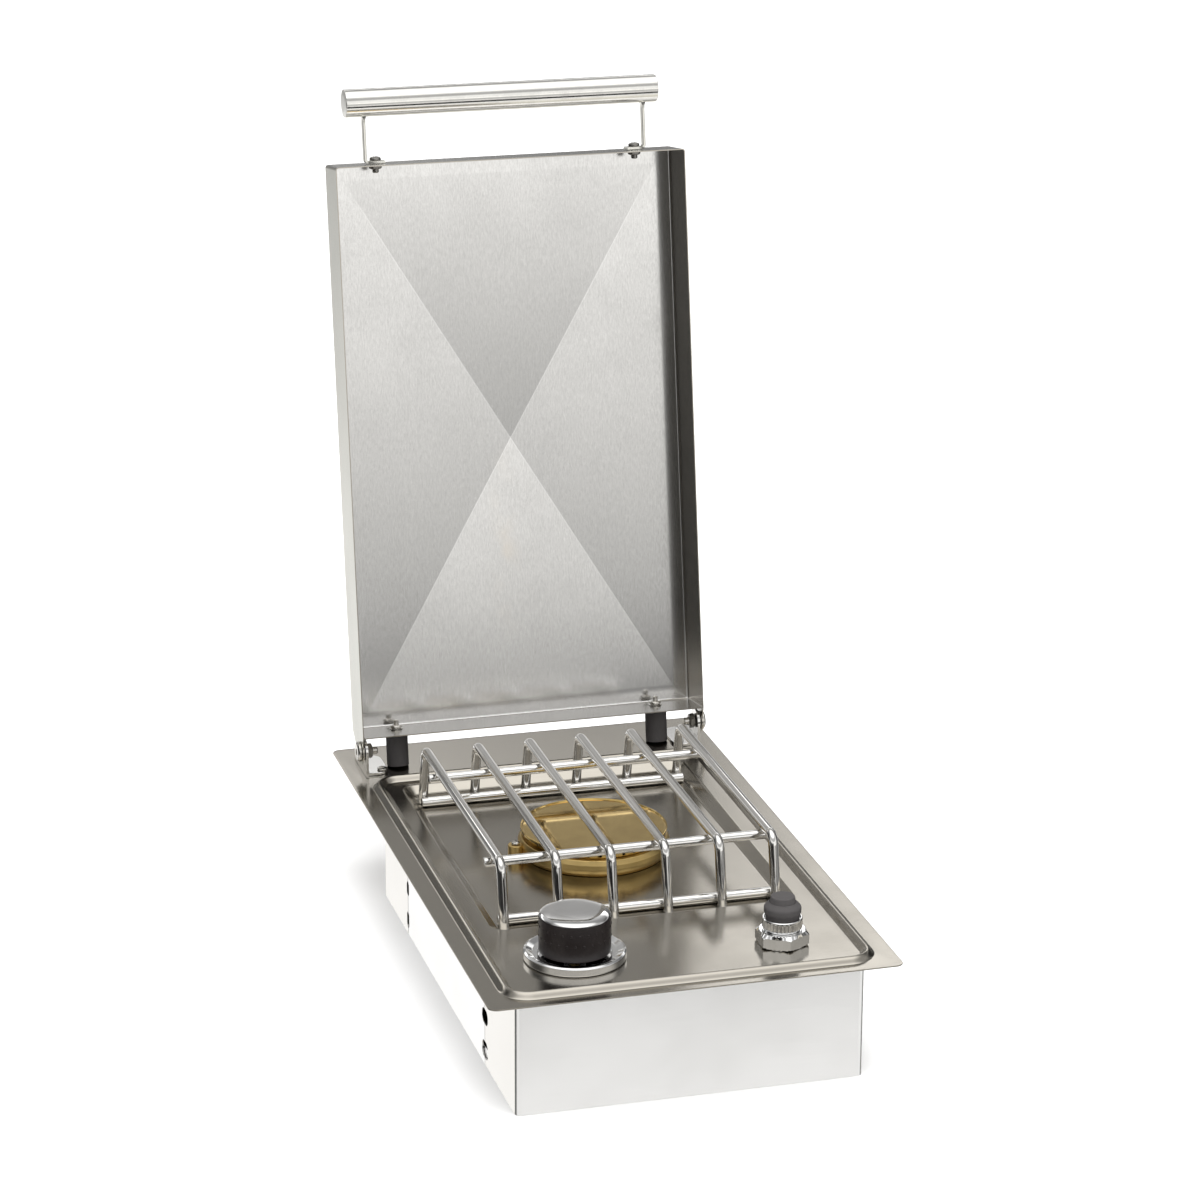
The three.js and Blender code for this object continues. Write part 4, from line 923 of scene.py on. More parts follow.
    @classmethod
    def strip(cls, path: Sequence[Sequence[float]], sizes: Sequence[Pair]) -> "Form":
        """Sweep a flat section along a path in the XY plane, its width along Z.

        Args:
            path: The centre line's X and Y.
            sizes: The section's thickness and width at each point.

        Returns:
            The form.
        """
        edge = 0.35
        loops = []
        for index, point in enumerate(path):
            before = Vector(path[max(index - 1, 0)][:2])
            after = Vector(path[min(index + 1, len(path) - 1)][:2])
            way = (after - before).normalized()
            thick, wide = sizes[index][0] / 2, sizes[index][1] / 2
            loop = []
            for across, up in ((thick - edge, wide), (thick, wide - edge), (thick, edge - wide),
                               (thick - edge, -wide), (edge - thick, -wide), (-thick, edge - wide),
                               (-thick, wide - edge), (edge - thick, wide)):
                loop.append((point[0] - way.y * across, point[1] + way.x * across, up))
            loops.append(loop)
        return cls.loft(loops)

    def moved(self, matrix: Matrix) -> "Form":
        """Move the form by a matrix in millimetres.

        Args:
            matrix: The move.

        Returns:
            The moved form.
        """
        form = Form()
        form.points = [matrix @ point for point in self.points]
        form.faces = list(self.faces)
        return form

    def shifted(self, x: float, y: float, z: float) -> "Form":
        """Move the form by a distance on each axis."""
        return self.moved(Matrix.Translation((x, y, z)))

    def spun(self, degrees: float, axis: str) -> "Form":
        """Turn the form about an axis."""
        return self.moved(Matrix.Rotation(math.radians(degrees), 4, axis))

    def mirrored(self) -> "Form":
        """Mirror the form across the YZ plane."""
        return self.moved(Matrix.Scale(-1, 4, (1, 0, 0)))

    def beside(self, *others: "Form") -> "Form":
        """Put other forms in the same mesh.

        Args:
            others: The other forms.

        Returns:
            One form that holds them all.
        """
        form = self.moved(GROUND)
        for other in others:
            start = len(form.points)
            form.points += other.points
            form.faces += [tuple(corner + start for corner in face) for face in other.faces]
        return form

    def mesh(self, name: str, scale: float = 1.0) -> bpy.types.Mesh:
        """Make a mesh with its faces pointing out.

        Args:
            name: The mesh's name.
            scale: Units per millimetre.

        Returns:
            The mesh.
        """
        made = bpy.data.meshes.new(name)
        made.from_pydata([point * scale for point in self.points], [], self.faces)
        work = bmesh.new()
        work.from_mesh(made)
        bmesh.ops.recalc_face_normals(work, faces=work.faces)
        work.to_mesh(made)
        work.free()
        return made

    def carved(self, cut: Cut, *tools: "Form") -> "Form":
        """Cut other forms out of this one, or join them to it.

        Args:
            cut: Whether the tools are removed or joined.
            tools: The other forms.

        Returns:
            The result.
        """
        subject = bpy.data.objects.new("carved", self.mesh("carved"))
        helpers = [bpy.data.objects.new("tool", tool.mesh("tool")) for tool in tools]
        for thing in [subject, *helpers]:
            bpy.context.scene.collection.objects.link(thing)
        for helper in helpers:
            modifier = subject.modifiers.new("carve", "BOOLEAN")
            modifier.operation = cut.value
            modifier.solver = "EXACT"
            modifier.object = helper
        shaped = subject.evaluated_get(bpy.context.evaluated_depsgraph_get())
        result = bpy.data.meshes.new_from_object(shaped)
        form = Form()
        form.points = [point.co.copy() for point in result.vertices]
        form.faces = [tuple(face.vertices) for face in result.polygons]
        for thing in [subject, *helpers]:
            mesh = thing.data
            bpy.data.objects.remove(thing)
            bpy.data.meshes.remove(mesh)
        bpy.data.meshes.remove(result)
        return form


def stand(name: str, mesh: bpy.types.Mesh, finish: Finish) -> bpy.types.Object:
    """Link a mesh to the scene in its finish.

    Args:
        name: The object's name.
        mesh: The mesh.
        finish: The finish.

    Returns:
        The object.
    """
    made = bpy.data.objects.new(name, mesh)
    bpy.context.scene.collection.objects.link(made)
    mesh.materials.append(finish.material())
    return made


@dataclass
class Piece:
    """A form with its name, finish and place, the body it rides on and the node it stands for."""

    name: str
    form: Form
    finish: Finish
    frame: Matrix
    body: str = "root"
    node: str = ""
    crease: float = 32.0
    bevel: float = 0.0
    others: tuple[tuple[Finish, Callable[[Vector, Vector], bool]], ...] = ()

    def set_down(self) -> None:
        """Put the piece in the scene."""
        mesh = self.form.mesh(self.name, MM)
        made = stand(self.name, mesh, self.finish)
        for index, (finish, takes) in enumerate(self.others):
            mesh.materials.append(finish.material())
            for face in mesh.polygons:
                if takes(face.center / MM, face.normal):
                    face.material_index = index + 1
        mesh.transform(self.frame.to_3x3().to_4x4())
        made.matrix_world = Matrix.Translation(self.frame.to_translation())
        mesh.shade_smooth()
        mesh.set_sharp_from_angle(angle=math.radians(self.crease))
        if self.bevel:
            bevel = made.modifiers.new("edges", "BEVEL")
            bevel.width = self.bevel * MM
            bevel.segments = 2
            bevel.limit_method = "ANGLE"
            bevel.angle_limit = math.radians(BEVEL_FROM)
            bevel.harden_normals = False
        weighted = made.modifiers.new("shading", "WEIGHTED_NORMAL")
        weighted.keep_sharp = True
        weighted.weight = 60
        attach(made, self.body)
        if self.node:
            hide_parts(self.node)
        log.info("%s: %d faces on %s", self.name, len(mesh.polygons), self.body)


def dress(node: str, finish: Finish) -> None:
    """Give a carried-over node its finish.

    Args:
        node: The node's name.
        finish: The finish.
    """
    thing = bpy.data.objects[node]
    for slot in thing.material_slots:
        slot.material = finish.material()
    log.info("%s: dressed in %s", node, finish.name)


def screw_form(head: float, rise: float, shank: float, length: float) -> Form:
    """Make a pan-head screw with a cross recess, its head's seat at z = 0.

    Args:
        head: The head's radius.
        rise: The head's height.
        shank: The shank's radius.
        length: The shank's length.

    Returns:
        The form.
    """
    domed_share = 0.35
    edge = rise * (1 - domed_share)
    long, narrow, deep = head * 0.55, head * 0.13, rise * 0.45
    outline = rounded([(0, -length), (shank * 0.7, -length), (shank, 0.6 - length), (shank, 0.0), (head - 0.2, 0.0),
                       (head, 0.2), (head, edge, head * 0.35), (head * 0.45, rise, head), (0, rise)])
    slots = [Form.block((-x, -y, deep), (x, y, rise + 1)) for x, y in ((long, narrow), (narrow, long))]
    return Form.turned(outline, 48).carved(Cut.REMOVE, *slots)


def nut_form(flats: float, height: float, bore: float, chamfer: float = 0.9) -> Form:
    """Make a chamfered hex nut on z = 0.

    Args:
        flats: Its width across flats.
        height: Its height.
        bore: Its hole's radius.
        chamfer: How far down its corners are cut.

    Returns:
        The form.
    """
    steps = 96
    corner = flats / math.sqrt(3)
    slope = chamfer * 1.8
    cones = ((0.0, corner - slope), (chamfer * 0.5, corner - slope * 0.45), (chamfer, corner),
             (height - chamfer, corner), (height - chamfer * 0.5, corner - slope * 0.45), (height, corner - slope))
    loops = [lobed_ring(lambda angle: min(hexagon_radius(flats, angle), max(cone, bore + 0.6)), place, steps)
             for place, cone in cones]
    edge = 0.4
    loops += [ring(bore + wide, place, steps)
              for place, wide in ((height, edge), (height - edge, 0.0), (edge, 0.0), (0.0, edge))]
    return Form.loft(loops, closed=True)


@dataclass
class Studio:
    """The camera at the photograph's angle, a pale floor and soft light."""

    eye: Triple = (-0.77056, -2.70185, 1.25543)
    right: Triple = (0.96211423, -0.27257715, 0.00615594)
    up: Triple = (0.080906, 0.30698939, 0.94826775)
    look: Triple = (0.26036593, 0.91184385, -0.31741199)
    lens: float = 120.97
    shift: Pair = (-0.01269, -0.01134)
    floor_radius: float = 16.0
    flag_y: float = -1.3
    flag_width: Pair = (-1.8, 1.2)
    flag_height: Pair = (-0.36, 0.1)
    sun_power: float = 2.3
    sun_width: float = 2.0
    sun_way: Triple = (0.25, 0.35, -1.0)
    lamp_power: float = 30.0
    lamp_side: float = 2.2
    lamp_place: Triple = (0.2, -0.1, 2.6)
    lamp_aim: Triple = (0.0, 0.0, 0.1)
    # Where the brightness round the horizon fades out: its height ahead, and the gain towards the back
    fade_near: Pair = (0.2, 0.35)
    fade_far: Pair = (0.38, 0.42)
    # Brightness by elevation ahead and behind, and its factor by azimuth, in degrees
    ahead: tuple[Pair, ...] = (
        (-90, 0.5), (-76, 0.55), (-64, 0.55), (-56, 0.8), (-45, 0.98), (-30, 1.12), (-22, 1.08), (-9, 0.85),
        (-4, 0.45), (-1, 0.56), (0.5, 0.75), (2, 1.0), (4, 1.25), (8, 1.4), (12, 1.0), (16, 1.1), (20, 1.15),
        (27, 1.1), (31, 0.55), (44, 0.52), (50, 0.85), (60, 1.7), (68, 2.0), (90, 2.0))
    behind: tuple[Pair, ...] = (
        (-90, 0.5), (-60, 0.6), (-30, 1.02), (-18, 1.0), (-9, 0.35), (10, 0.15), (20.9, 0.15), (21.7, 0.8),
        (22.4, 1.75), (27, 1.8), (31, 0.5), (54, 0.34), (59, 1.0), (65, 1.4), (75, 1.6), (90, 1.5))
    around: tuple[Pair, ...] = (
        (-180, 0.06), (-118, 0.05), (-104, 0.09), (-96, 0.2), (-90, 0.75), (-86, 1.0), (-50, 1.0), (-40, 0.7),
        (-18, 0.3), (10, 0.2), (40, 0.3), (56, 0.9), (62, 1.4), (71, 1.4), (73.2, 0.85),
        (75.6, 0.9), (77.5, 1.25), (124, 1.2), (138, 0.35), (150, 0.1), (180, 0.06))

    def set_camera(self) -> None:
        """Place the camera."""
        data = bpy.data.cameras.new("camera")
        data.sensor_width = 36.0
        data.lens = self.lens
        data.shift_x, data.shift_y = self.shift
        data.clip_start, data.clip_end = 0.05, 100.0
        camera = bpy.data.objects.new("camera", data)
        bpy.context.scene.collection.objects.link(camera)
        right, up, look = Vector(self.right), Vector(self.up), Vector(self.look)
        camera.matrix_world = Matrix((
            (right.x, up.x, -look.x, self.eye[0]),
            (right.y, up.y, -look.y, self.eye[1]),
            (right.z, up.z, -look.z, self.eye[2]),
            (0, 0, 0, 1)))
        bpy.context.scene.camera = camera

    def lay_floor(self) -> None:
        """Lay the round pale floor with a soft mottle."""
        form = Form()
        form.faces.append(tuple(form.row(ring(self.floor_radius / MM, 0, 64))))
        floor = stand("floor", form.mesh("floor", MM), FLOOR_PAINT)
        floor.visible_glossy = False

    def light_room(self) -> None:
        """Give the room its soft brightness by direction."""
        world = bpy.data.worlds.new("room")
        bpy.context.scene.world = world
        world.use_nodes = True
        kit = NodeKit(world.node_tree)
        x, y, z = kit.parts(kit.wire("ShaderNodeTexCoord", output="Generated"))
        ahead = self.ramp(kit, z, self.ahead)
        behind = self.ramp(kit, z, self.behind)
        flat = (x * x + y * y).root().at_least(0.001)
        toward_back = (y / flat).spread(-0.35, 0.35)
        level = ahead * (1 - toward_back) + behind * toward_back
        turn = y.angle(x) * (1 / FULL_TURN) + 0.5
        flags = self.grey_ramp(kit, turn, [((degrees + 180) / 360, level) for degrees, level in self.around])
        near, far = (start + gain * toward_back for start, gain in (self.fade_near, self.fade_far))
        reach = 1 - ((abs(z) - near) / (far - near)).held()
        level = level * (1 - reach * (1 - flags))
        tint = kit.blend(abs(z).spread(0.02, 0.35), (1.0, 0.99, 0.965), (1.0, 0.997, 0.99))
        tint = kit.blend(z.spread(-0.55, -0.8), tint, (1.0, 0.96, 0.85))
        background = kit.wire("ShaderNodeBackground", sockets={"Color": tint, "Strength": level})
        kit.node("ShaderNodeOutputWorld", sockets={"Surface": background})

    @staticmethod
    def ramp(kit: NodeKit, z: Wire, stops: Sequence[Pair]) -> Wire:
        """Turn a direction's Z into a brightness."""
        places = [((math.sin(math.radians(degrees)) + 1) / 2, level) for degrees, level in stops]
        return Studio.grey_ramp(kit, z * 0.5 + 0.5, places)

    @staticmethod
    def grey_ramp(kit: NodeKit, value: Wire, stops: Sequence[Pair]) -> Wire:
        """Turn a value into a brightness by a ramp.

        Args:
            kit: The tree's kit.
            value: Values from 0 to 1.
            stops: Places with their brightness, at most 4.

        Returns:
            The brightness.
        """
        top = 4.0
        grey = [(place, (level / top,) * 3) for place, level in stops]
        return kit.wire("ShaderNodeValToRGB", {"stops": grey}, {0: value}) * top

    def stand_flag(self) -> None:
        """Stand a dark board low in front of the part, where only polished metal mirrors it."""
        (left, right), (low, high) = self.flag_width, self.flag_height
        mesh = bpy.data.meshes.new("flag")
        mesh.from_pydata([(x, self.flag_y, z) for x, z in ((left, low), (right, low), (right, high), (left, high))],
                         [], [(0, 1, 2, 3)])
        board = stand("flag", mesh, FLAG_PAINT)
        board.visible_camera = board.visible_diffuse = board.visible_shadow = False

    @staticmethod
    def hang(name: str, kind: str, power: float, way: Vector) -> bpy.types.Object:
        """Hang a lamp that no metal mirrors.

        Args:
            name: The lamp's name.
            kind: Its type.
            power: Its strength.
            way: Where it shines.

        Returns:
            The lamp.
        """
        data = bpy.data.lights.new(name, kind)
        data.energy = power
        lamp = bpy.data.objects.new(name, data)
        bpy.context.scene.collection.objects.link(lamp)
        lamp.rotation_euler = way.to_track_quat("-Z", "Y").to_euler()
        lamp.visible_glossy = False
        return lamp

    def hang_lamps(self) -> None:
        """Hang a wide soft sun, to light the floor evenly, and a square lamp overhead."""
        self.hang("sky", "SUN", self.sun_power, Vector(self.sun_way)).data.angle = self.sun_width
        place = Vector(self.lamp_place)
        lamp = self.hang("overhead", "AREA", self.lamp_power, Vector(self.lamp_aim) - place)
        lamp.data.shape = "RECTANGLE"
        lamp.data.size = lamp.data.size_y = self.lamp_side
        lamp.location = place
        lamp.visible_camera = False

    def build(self) -> None:
        """Set up the whole studio."""
        self.set_camera()
        self.lay_floor()
        self.light_room()
        self.stand_flag()
        self.hang_lamps()
        bpy.context.scene.view_settings.view_transform = "Standard"
        log.info("studio: camera, floor, room, flag and two lamps")


@dataclass
class DrawnTop:
    """The one-piece drawn top: flange, raised bead, deck and burner recess."""

    half_width: float = 152.5
    half_depth: float = 262.0
    middle: Pair = (0.0, 34.5)
    corner: float = 7.0
    sheet: float = 1.0
    bead_half: Pair = (139.0, 220.75)
    bead_middle: Pair = (0.0, 2.75)
    bead_corner: float = 22.0
    bead_width: float = 11.0
    bead_height: float = 4.5
    bead_fullness: float = 0.75
    recess_half: Pair = (116.0, 149.0)
    recess_middle: Pair = (0.0, 56.0)
    recess_corner: float = 12.5
    throat: float = 11.3
    reach: float = 3.0
    holes: tuple[tuple[float, ...], ...] = (
        (KNOB_X, KNOB_Y, 0.0, 4.6), (IGNITER_X, IGNITER_Y, 0.0, 9.8), (-20.395, BURNER_Y + 62.77, RECESS_FLOOR, 3.8),
        *((x, BURNER_Y + y, RECESS_FLOOR, 2.3) for x, y in LUG_PLACES),
        (-123.5, HINGE_Y, 0.0, 2.4), (123.5, HINGE_Y, 0.0, 2.4))

    def rim_loops(self, *places: Pair) -> list[list[Vector]]:
        """Make loops of the rim from their insets and heights."""
        return [level_loop(self.half_width - inset, self.half_depth - inset, self.corner - inset, self.middle, height)
                for inset, height in places]

    def upper_loops(self) -> list[list[Vector]]:
        """Make the loops of the upper face, from the rim to the throat's hole.

        Returns:
            The loops.
        """
        loops = self.rim_loops((0.0, -0.3), (0.08, -0.1), (0.3, 0.0), (2.0, 0.0))
        steps = 18
        for step in range(steps + 1):
            share = step / steps
            inset = share * self.bead_width
            wave = (0.5 - 0.5 * math.cos(FULL_TURN * share)) ** self.bead_fullness
            loops.append(level_loop(self.bead_half[0] - inset, self.bead_half[1] - inset, self.bead_corner - inset,
                                    self.bead_middle, self.bead_height * wave))
        slope = rounded([(-4, 0), (0, 0, 3.5), (7.5, RECESS_FLOOR, 4.5), (13, RECESS_FLOOR)], steps=6)
        for inset, height in slope:
            loops.append(level_loop(self.recess_half[0] - inset, self.recess_half[1] - inset,
                                    max(self.recess_corner - inset, 3.5), self.recess_middle, height))
        burner = Vector((0, BURNER_Y, RECESS_FLOOR))
        loops.append([burner + (point - burner).normalized() * self.throat for point in loops[-1]])
        return loops

    def form(self) -> Form:
        """Make the sheet and drill it.

        Returns:
            The form.
        """
        upper = self.upper_loops()
        lower = [[point - Vector((0, 0, self.sheet)) for point in loop] for loop in reversed(upper[2:])]
        sheet = Form.loft([*upper, *lower, *self.rim_loops((0.08, -0.9), (0.0, -0.7))], closed=True)
        drills = [Form.rod(radius, -self.reach, self.reach).shifted(x, y, height)
                  for x, y, height, radius in self.holes]
        return sheet.carved(Cut.REMOVE, *drills)

    def build(self) -> None:
        """Set down the drawn top."""
        Piece("drawn_top", self.form(), PAN_STEEL, TOP, node="burner_pan", crease=40).set_down()


@dataclass
class BurnerBox:
    """Front and rear wraps, two side panels and the tray under the top."""

    half_width: float = 129.0
    half_depth: float = 209.0
    height: float = 90.7
    sheet: float = 1.0
    bend: float = 4.2
    front_seam: float = -120.0
    rear_seam: float = 126.0
    slot_heights: tuple[Pair, ...] = ((32.0, 43.5), (5.0, 18.0))
    slot_round: float = 5.6
    front_slot: float = 17.0
    rear_slot: float = 7.0
    seam_gap: float = 0.9
    edge: float = 0.15
    overrun: float = 11.0
    inlet_x: float = -113.0
    inlet_height: float = 58.0
    inlet_radius: float = 6.8

    def wrap_outline(self, face: float, end: float) -> list[Vector]:
        """Draw a wrap from above.

        Args:
            face: The Y of its outer face.
            end: The Y of its free edges.

        Returns:
            The outline.
        """
        way = math.copysign(1.0, end - face)
        half, inner = self.half_width, self.half_width - self.sheet
        return rounded([(-half, end), (-half, face, self.bend), (half, face, self.bend), (half, end),
                        (inner, end), (inner, face + way * self.sheet, self.bend - self.sheet),
                        (-inner, face + way * self.sheet, self.bend - self.sheet), (-inner, end)], closed=True)

    def slots(self, seam: float, length: float) -> list[Form]:
        """Make the tools that cut the slots on one seam.

        Args:
            seam: The seam's Y.
            length: The slots' length.

        Returns:
            The tools.
        """
        turn = min(self.slot_round, length / 2 - 0.05)
        start, stop, reach = seam - length / 2, seam + length / 2, self.half_width + self.overrun
        return [Form.prism(rounded([(start, low, turn), (stop, low, turn), (stop, high, turn), (start, high, turn)],
                                   closed=True), -reach, reach).moved(ALONG_X) for low, high in self.slot_heights]

    def on_inside(self, centre: Vector, normal: Vector) -> bool:
        """Tell the faces that look into the box."""
        return normal.x * centre.x + normal.y * centre.y < -1.0 and abs(normal.z) < 0.5

    def on_side(self, centre: Vector, normal: Vector) -> bool:
        """Tell the outer faces at the left and the right."""
        return normal.x * centre.x > 0 and abs(normal.x) > 0.98

    def build(self) -> None:
        """Set down the four panels and dress the tray."""
        front_slots = self.slots(self.front_seam, self.front_slot)
        rear_slots = self.slots(self.rear_seam, self.rear_slot)
        inlet = Form.rod(self.inlet_radius, 200, 220).spun(-90, "X").shifted(self.inlet_x, 0, self.inlet_height)
        for name, face, end, tools in (("front", -self.half_depth, self.front_seam, front_slots),
                                       ("rear", self.half_depth, self.rear_seam, [*rear_slots, inlet])):
            wrap = Form.prism(self.wrap_outline(face, end), 0, self.height).carved(Cut.REMOVE, *tools)
            # Faces that look into the box take painted shade.
            Piece(f"{name}_wrap", wrap, BOX_STEEL, GROUND, node=f"box_{name}_wrap", bevel=self.edge,
                  # The wraps' left and right outer faces take painted shade.
                  others=((BOX_INSIDE_SHADE, self.on_inside), (WRAP_SIDE_SHADE, self.on_side))).set_down()
        for name, side in SIDES:
            edges = sorted((side * self.half_width, side * (self.half_width - self.sheet)))
            panel = Form.block((edges[0], self.front_seam + self.seam_gap, 0),
                               (edges[1], self.rear_seam - self.seam_gap, self.height))
            # Faces that look into the box take painted shade here too.
            Piece(f"side_panel_{name}", panel.carved(Cut.REMOVE, *front_slots, *rear_slots), PANEL_STEEL, GROUND,
                  node=f"box_side_{name}", bevel=self.edge,
                  others=((BOX_INSIDE_SHADE, self.on_inside),)).set_down()
        dress("bottom_plate", BOX_STEEL)


@dataclass
class LidShell:
    """The cross-broken lid with its four skirts and two pivot ears, in the closed lid's own frame."""

    half_width: float = 141.0
    rear: float = -12.0
    front: float = -464.0
    face: float = 29.0
    edge: float = -13.0
    sheet: float = 0.8
    corner: float = 2.4
    fillet: float = 2.2
    dish: float = 2.4
    dish_margin: float = 14.0
    dish_roundness: float = 1.12
    ear: float = 10.0
    ear_root: float = 34.0
    bolt_x: float = 105.0
    bolt_z: float = 8.0
    stud_x: float = 108.0
    stud_z: float = 14.0
    pivot_hole: float = 3.3
    bolt_hole: float = 2.8
    stud_hole: float = 2.3

    def loop(self, inset: float, height: float, corner: float, scale: float = 1.0) -> list[Vector]:
        """Make one level loop of the shell.

        Args:
            inset: Its distance in from the outer face.
            height: Its height.
            corner: Its corner radius.
            scale: Its share of the size that the inset leaves.

        Returns:
            The loop.
        """
        half_y = (self.rear - self.front) / 2
        return level_loop((self.half_width - inset) * scale, (half_y - inset) * scale, corner,
                          (0.0, (self.front + self.rear) / 2), height, steps=6)

    def skin(self, inset: float, fillet: float, lift: float) -> list[list[Vector]]:
        """Make the loops of one face of the sheet, from the skirt's edge to the middle.

        Args:
            inset: The face's distance in from the outside.
            fillet: The radius between skirt and panel.
            lift: How much lower than the outside the face lies.

        Returns:
            The loops.
        """
        top = self.face - lift
        profile = rounded([(inset, self.edge), (inset, top, fillet), (self.dish_margin - 2, top)], steps=6)
        loops = [self.loop(place, height, max(self.corner - place, 0.5)) for place, height in profile]
        steps = 14
        for step in range(steps):
            scale = 1 - step / steps
            rise = self.dish * (1 - scale ** self.dish_roundness)
            loops.append(self.loop(self.dish_margin, top + rise, 0.5 * scale, scale))
        loops.append(self.loop(self.dish_margin, top + self.dish, 0.002, 0.006))
        return loops

    def ear_form(self) -> Form:
        """Make one pivot ear, flat at x = 0, its thickness towards +X.

        Returns:
            The form.
        """
        lean = math.asin(self.ear / math.hypot(self.rear, self.face))
        start = -QUARTER_TURN - lean
        stop = math.atan2(self.face, self.rear) - QUARTER_TURN + lean
        steps = 32
        outline = [(self.rear - self.ear_root, self.edge + 0.02), (self.rear, self.edge + 0.02)]
        outline += [(self.ear * math.cos(start + (stop - start) * step / steps),
                     self.ear * math.sin(start + (stop - start) * step / steps)) for step in range(steps + 1)]
        outline += [(self.rear - 0.6, self.face - 2.6), (self.rear - self.ear_root, self.face - 2.6)]
        return Form.prism(outline, 0, self.sheet).moved(ALONG_X)

    def form(self) -> Form:
        """Make the whole sheet with its ears and holes.

        Returns:
            The form.
        """
        outside = self.skin(0.0, self.fillet, 0.0)
        inside = self.skin(self.sheet, self.fillet - self.sheet, self.sheet)
        shell = Form.loft([*reversed(outside), *inside])
        ears = [self.ear_form().shifted(x - 0.001 * way, 0, 0)
                for x, way in ((self.half_width - self.sheet, 1), (-self.half_width, -1))]
        holes = [Form.rod(self.pivot_hole, -150, 150).spun(90, "Y")]
        for _, side in SIDES:
            for radius, x, y, z in ((self.bolt_hole, self.bolt_x, self.front, self.bolt_z),
                                    (self.stud_hole, self.stud_x, self.rear, self.stud_z)):
                holes.append(Form.rod(radius, -4, 4).spun(90, "X").shifted(side * x, y, z))
        return shell.carved(Cut.JOIN, *ears).carved(Cut.REMOVE, *holes)

    def on_inside(self, centre: Vector, normal: Vector) -> bool:
        """Tell the panel's inner face."""
        return normal.z < -0.5 and centre.z > 0

    def on_inner_side(self, centre: Vector, normal: Vector) -> bool:
        """Tell the inner faces of the side skirts."""
        return abs(normal.x) > 0.7 and centre.x * normal.x < 0 and centre.y < self.rear

    def on_outer_side(self, centre: Vector, normal: Vector) -> bool:
        """Tell the outer faces of the side skirts."""
        return abs(normal.x) > 0.7 and centre.x * normal.x > 0

    def on_inner_end(self, centre: Vector, normal: Vector) -> bool:
        """Tell the inner faces of the front and rear skirts."""
        return abs(normal.y) > 0.7 and (centre.y - (self.front + self.rear) / 2) * normal.y < 0

    def on_free_edge(self, centre: Vector, normal: Vector) -> bool:
        """Tell the skirts' free edge."""
        return normal.z < -0.7 and centre.z < 0

    def build(self) -> None:
        """Set down the lid."""
        # The skirts' inner faces and free edge take darker copies of the lid's steel: painted shade.
        Piece("lid_shell", self.form(), LID_OUTSIDE, LID, body="lid", node="lid_panel", crease=1.2,
              others=((LID_INSIDE, self.on_inside), (SKIRT_INSIDE_SHADE, self.on_inner_side),
                      (SKIRT_ENDS_SHADE, self.on_inner_end), (SKIRT_INSIDE_SHADE, self.on_free_edge),
                      # The side skirts' outer faces take a darker copy of the lid's steel: painted shade.
                      (SKIRT_OUTSIDE_SHADE, self.on_outer_side))).set_down()


@dataclass
class LidHandle:
    """The handle bar on two straps bolted to the front skirt."""

    bar_radius: float = 10.99
    bar_half: float = 126.5
    bar_shift: float = -2.0
    skirt_y: float = -464.0
    skirt_sheet: float = 0.8
    bar_y: float = -511.7
    axis_z: float = 8.0
    strap_x: float = 113.0
    strap_thick: float = 2.2
    strap_wide: float = 6.0
    foot_wide: float = 12.0
    foot_long: float = 16.0
    bolt_inset: float = 8.0
    gap: float = 0.3

    def bar_form(self) -> Form:
        """Make the bar with its slightly domed closed ends.

        Returns:
            The form.
        """
        half, radius = self.bar_half, self.bar_radius
        outline = rounded([(0, -half), (radius * 0.6, 0.15 - half, 8.0), (radius, 0.6 - half, 0.6),
                           (radius, half - 0.6, 0.6), (radius * 0.6, half - 0.15, 8.0), (0, half)])
        return Form.turned(outline, 128).spun(90, "Y")

    def strap_form(self, side: int) -> Form:
        """Make one strap: an upright from the bar, bent into a foot on the skirt.

        Args:
            side: 1 at the right and -1 at the left.

        Returns:
            The form.
        """
        reach = self.skirt_y - self.bar_y - self.bar_radius + 1.4
        seat = -self.gap - self.strap_thick / 2
        path = rounded([(0, -reach), (0, -reach + 3.0), (0, -reach + 6.0), (0, -12.0), (0, seat, 2.4),
                        (-side * 6.0, seat), (-side * (self.foot_long - self.strap_thick / 2), seat)])
        sizes = []
        for place in path:
            weld = max(0.0, 1 - (place.y + reach) / 3.5)
            foot = min(max((abs(place.x) - 1.0) / 4.0, 0.0), 1.0)
            sizes.append((self.strap_thick + 1.8 * weld, self.strap_wide + 2.2 * weld
                          + (self.foot_wide - self.strap_wide) * foot))
        return Form.strip(path, sizes)

    def build(self) -> None:
        """Set down the bar, straps, bolts and nuts."""
        height = self.axis_z
        Piece("handle_bar_rod", self.bar_form(), BAR_STEEL, on_lid(self.bar_shift, self.bar_y, height), "lid",
              "handle_bar").set_down()
        for name, side in SIDES:
            bolt_x = side * (self.strap_x - self.bolt_inset)
            Piece(f"strap_{name}", self.strap_form(side), STRAP_STEEL,
                  on_lid(side * self.strap_x, self.skirt_y, height), "lid", f"handle_strap_{name}").set_down()
            Piece(f"strap_bolt_{name}", screw_form(head=4.5, rise=3.0, shank=2.5, length=9.9).spun(90, "X"),
                  DARK_FASTENER, on_lid(bolt_x, self.skirt_y - self.strap_thick - 2 * self.gap, height), "lid",
                  f"handle_bolt_{name}").set_down()
            Piece(f"strap_nut_{name}", nut_form(flats=9.0, height=3.0, bore=2.6).spun(-90, "X"), DARK_FASTENER,
                  on_lid(bolt_x, self.skirt_y + self.skirt_sheet + self.gap, height), "lid",
                  f"handle_nut_{name}").set_down()


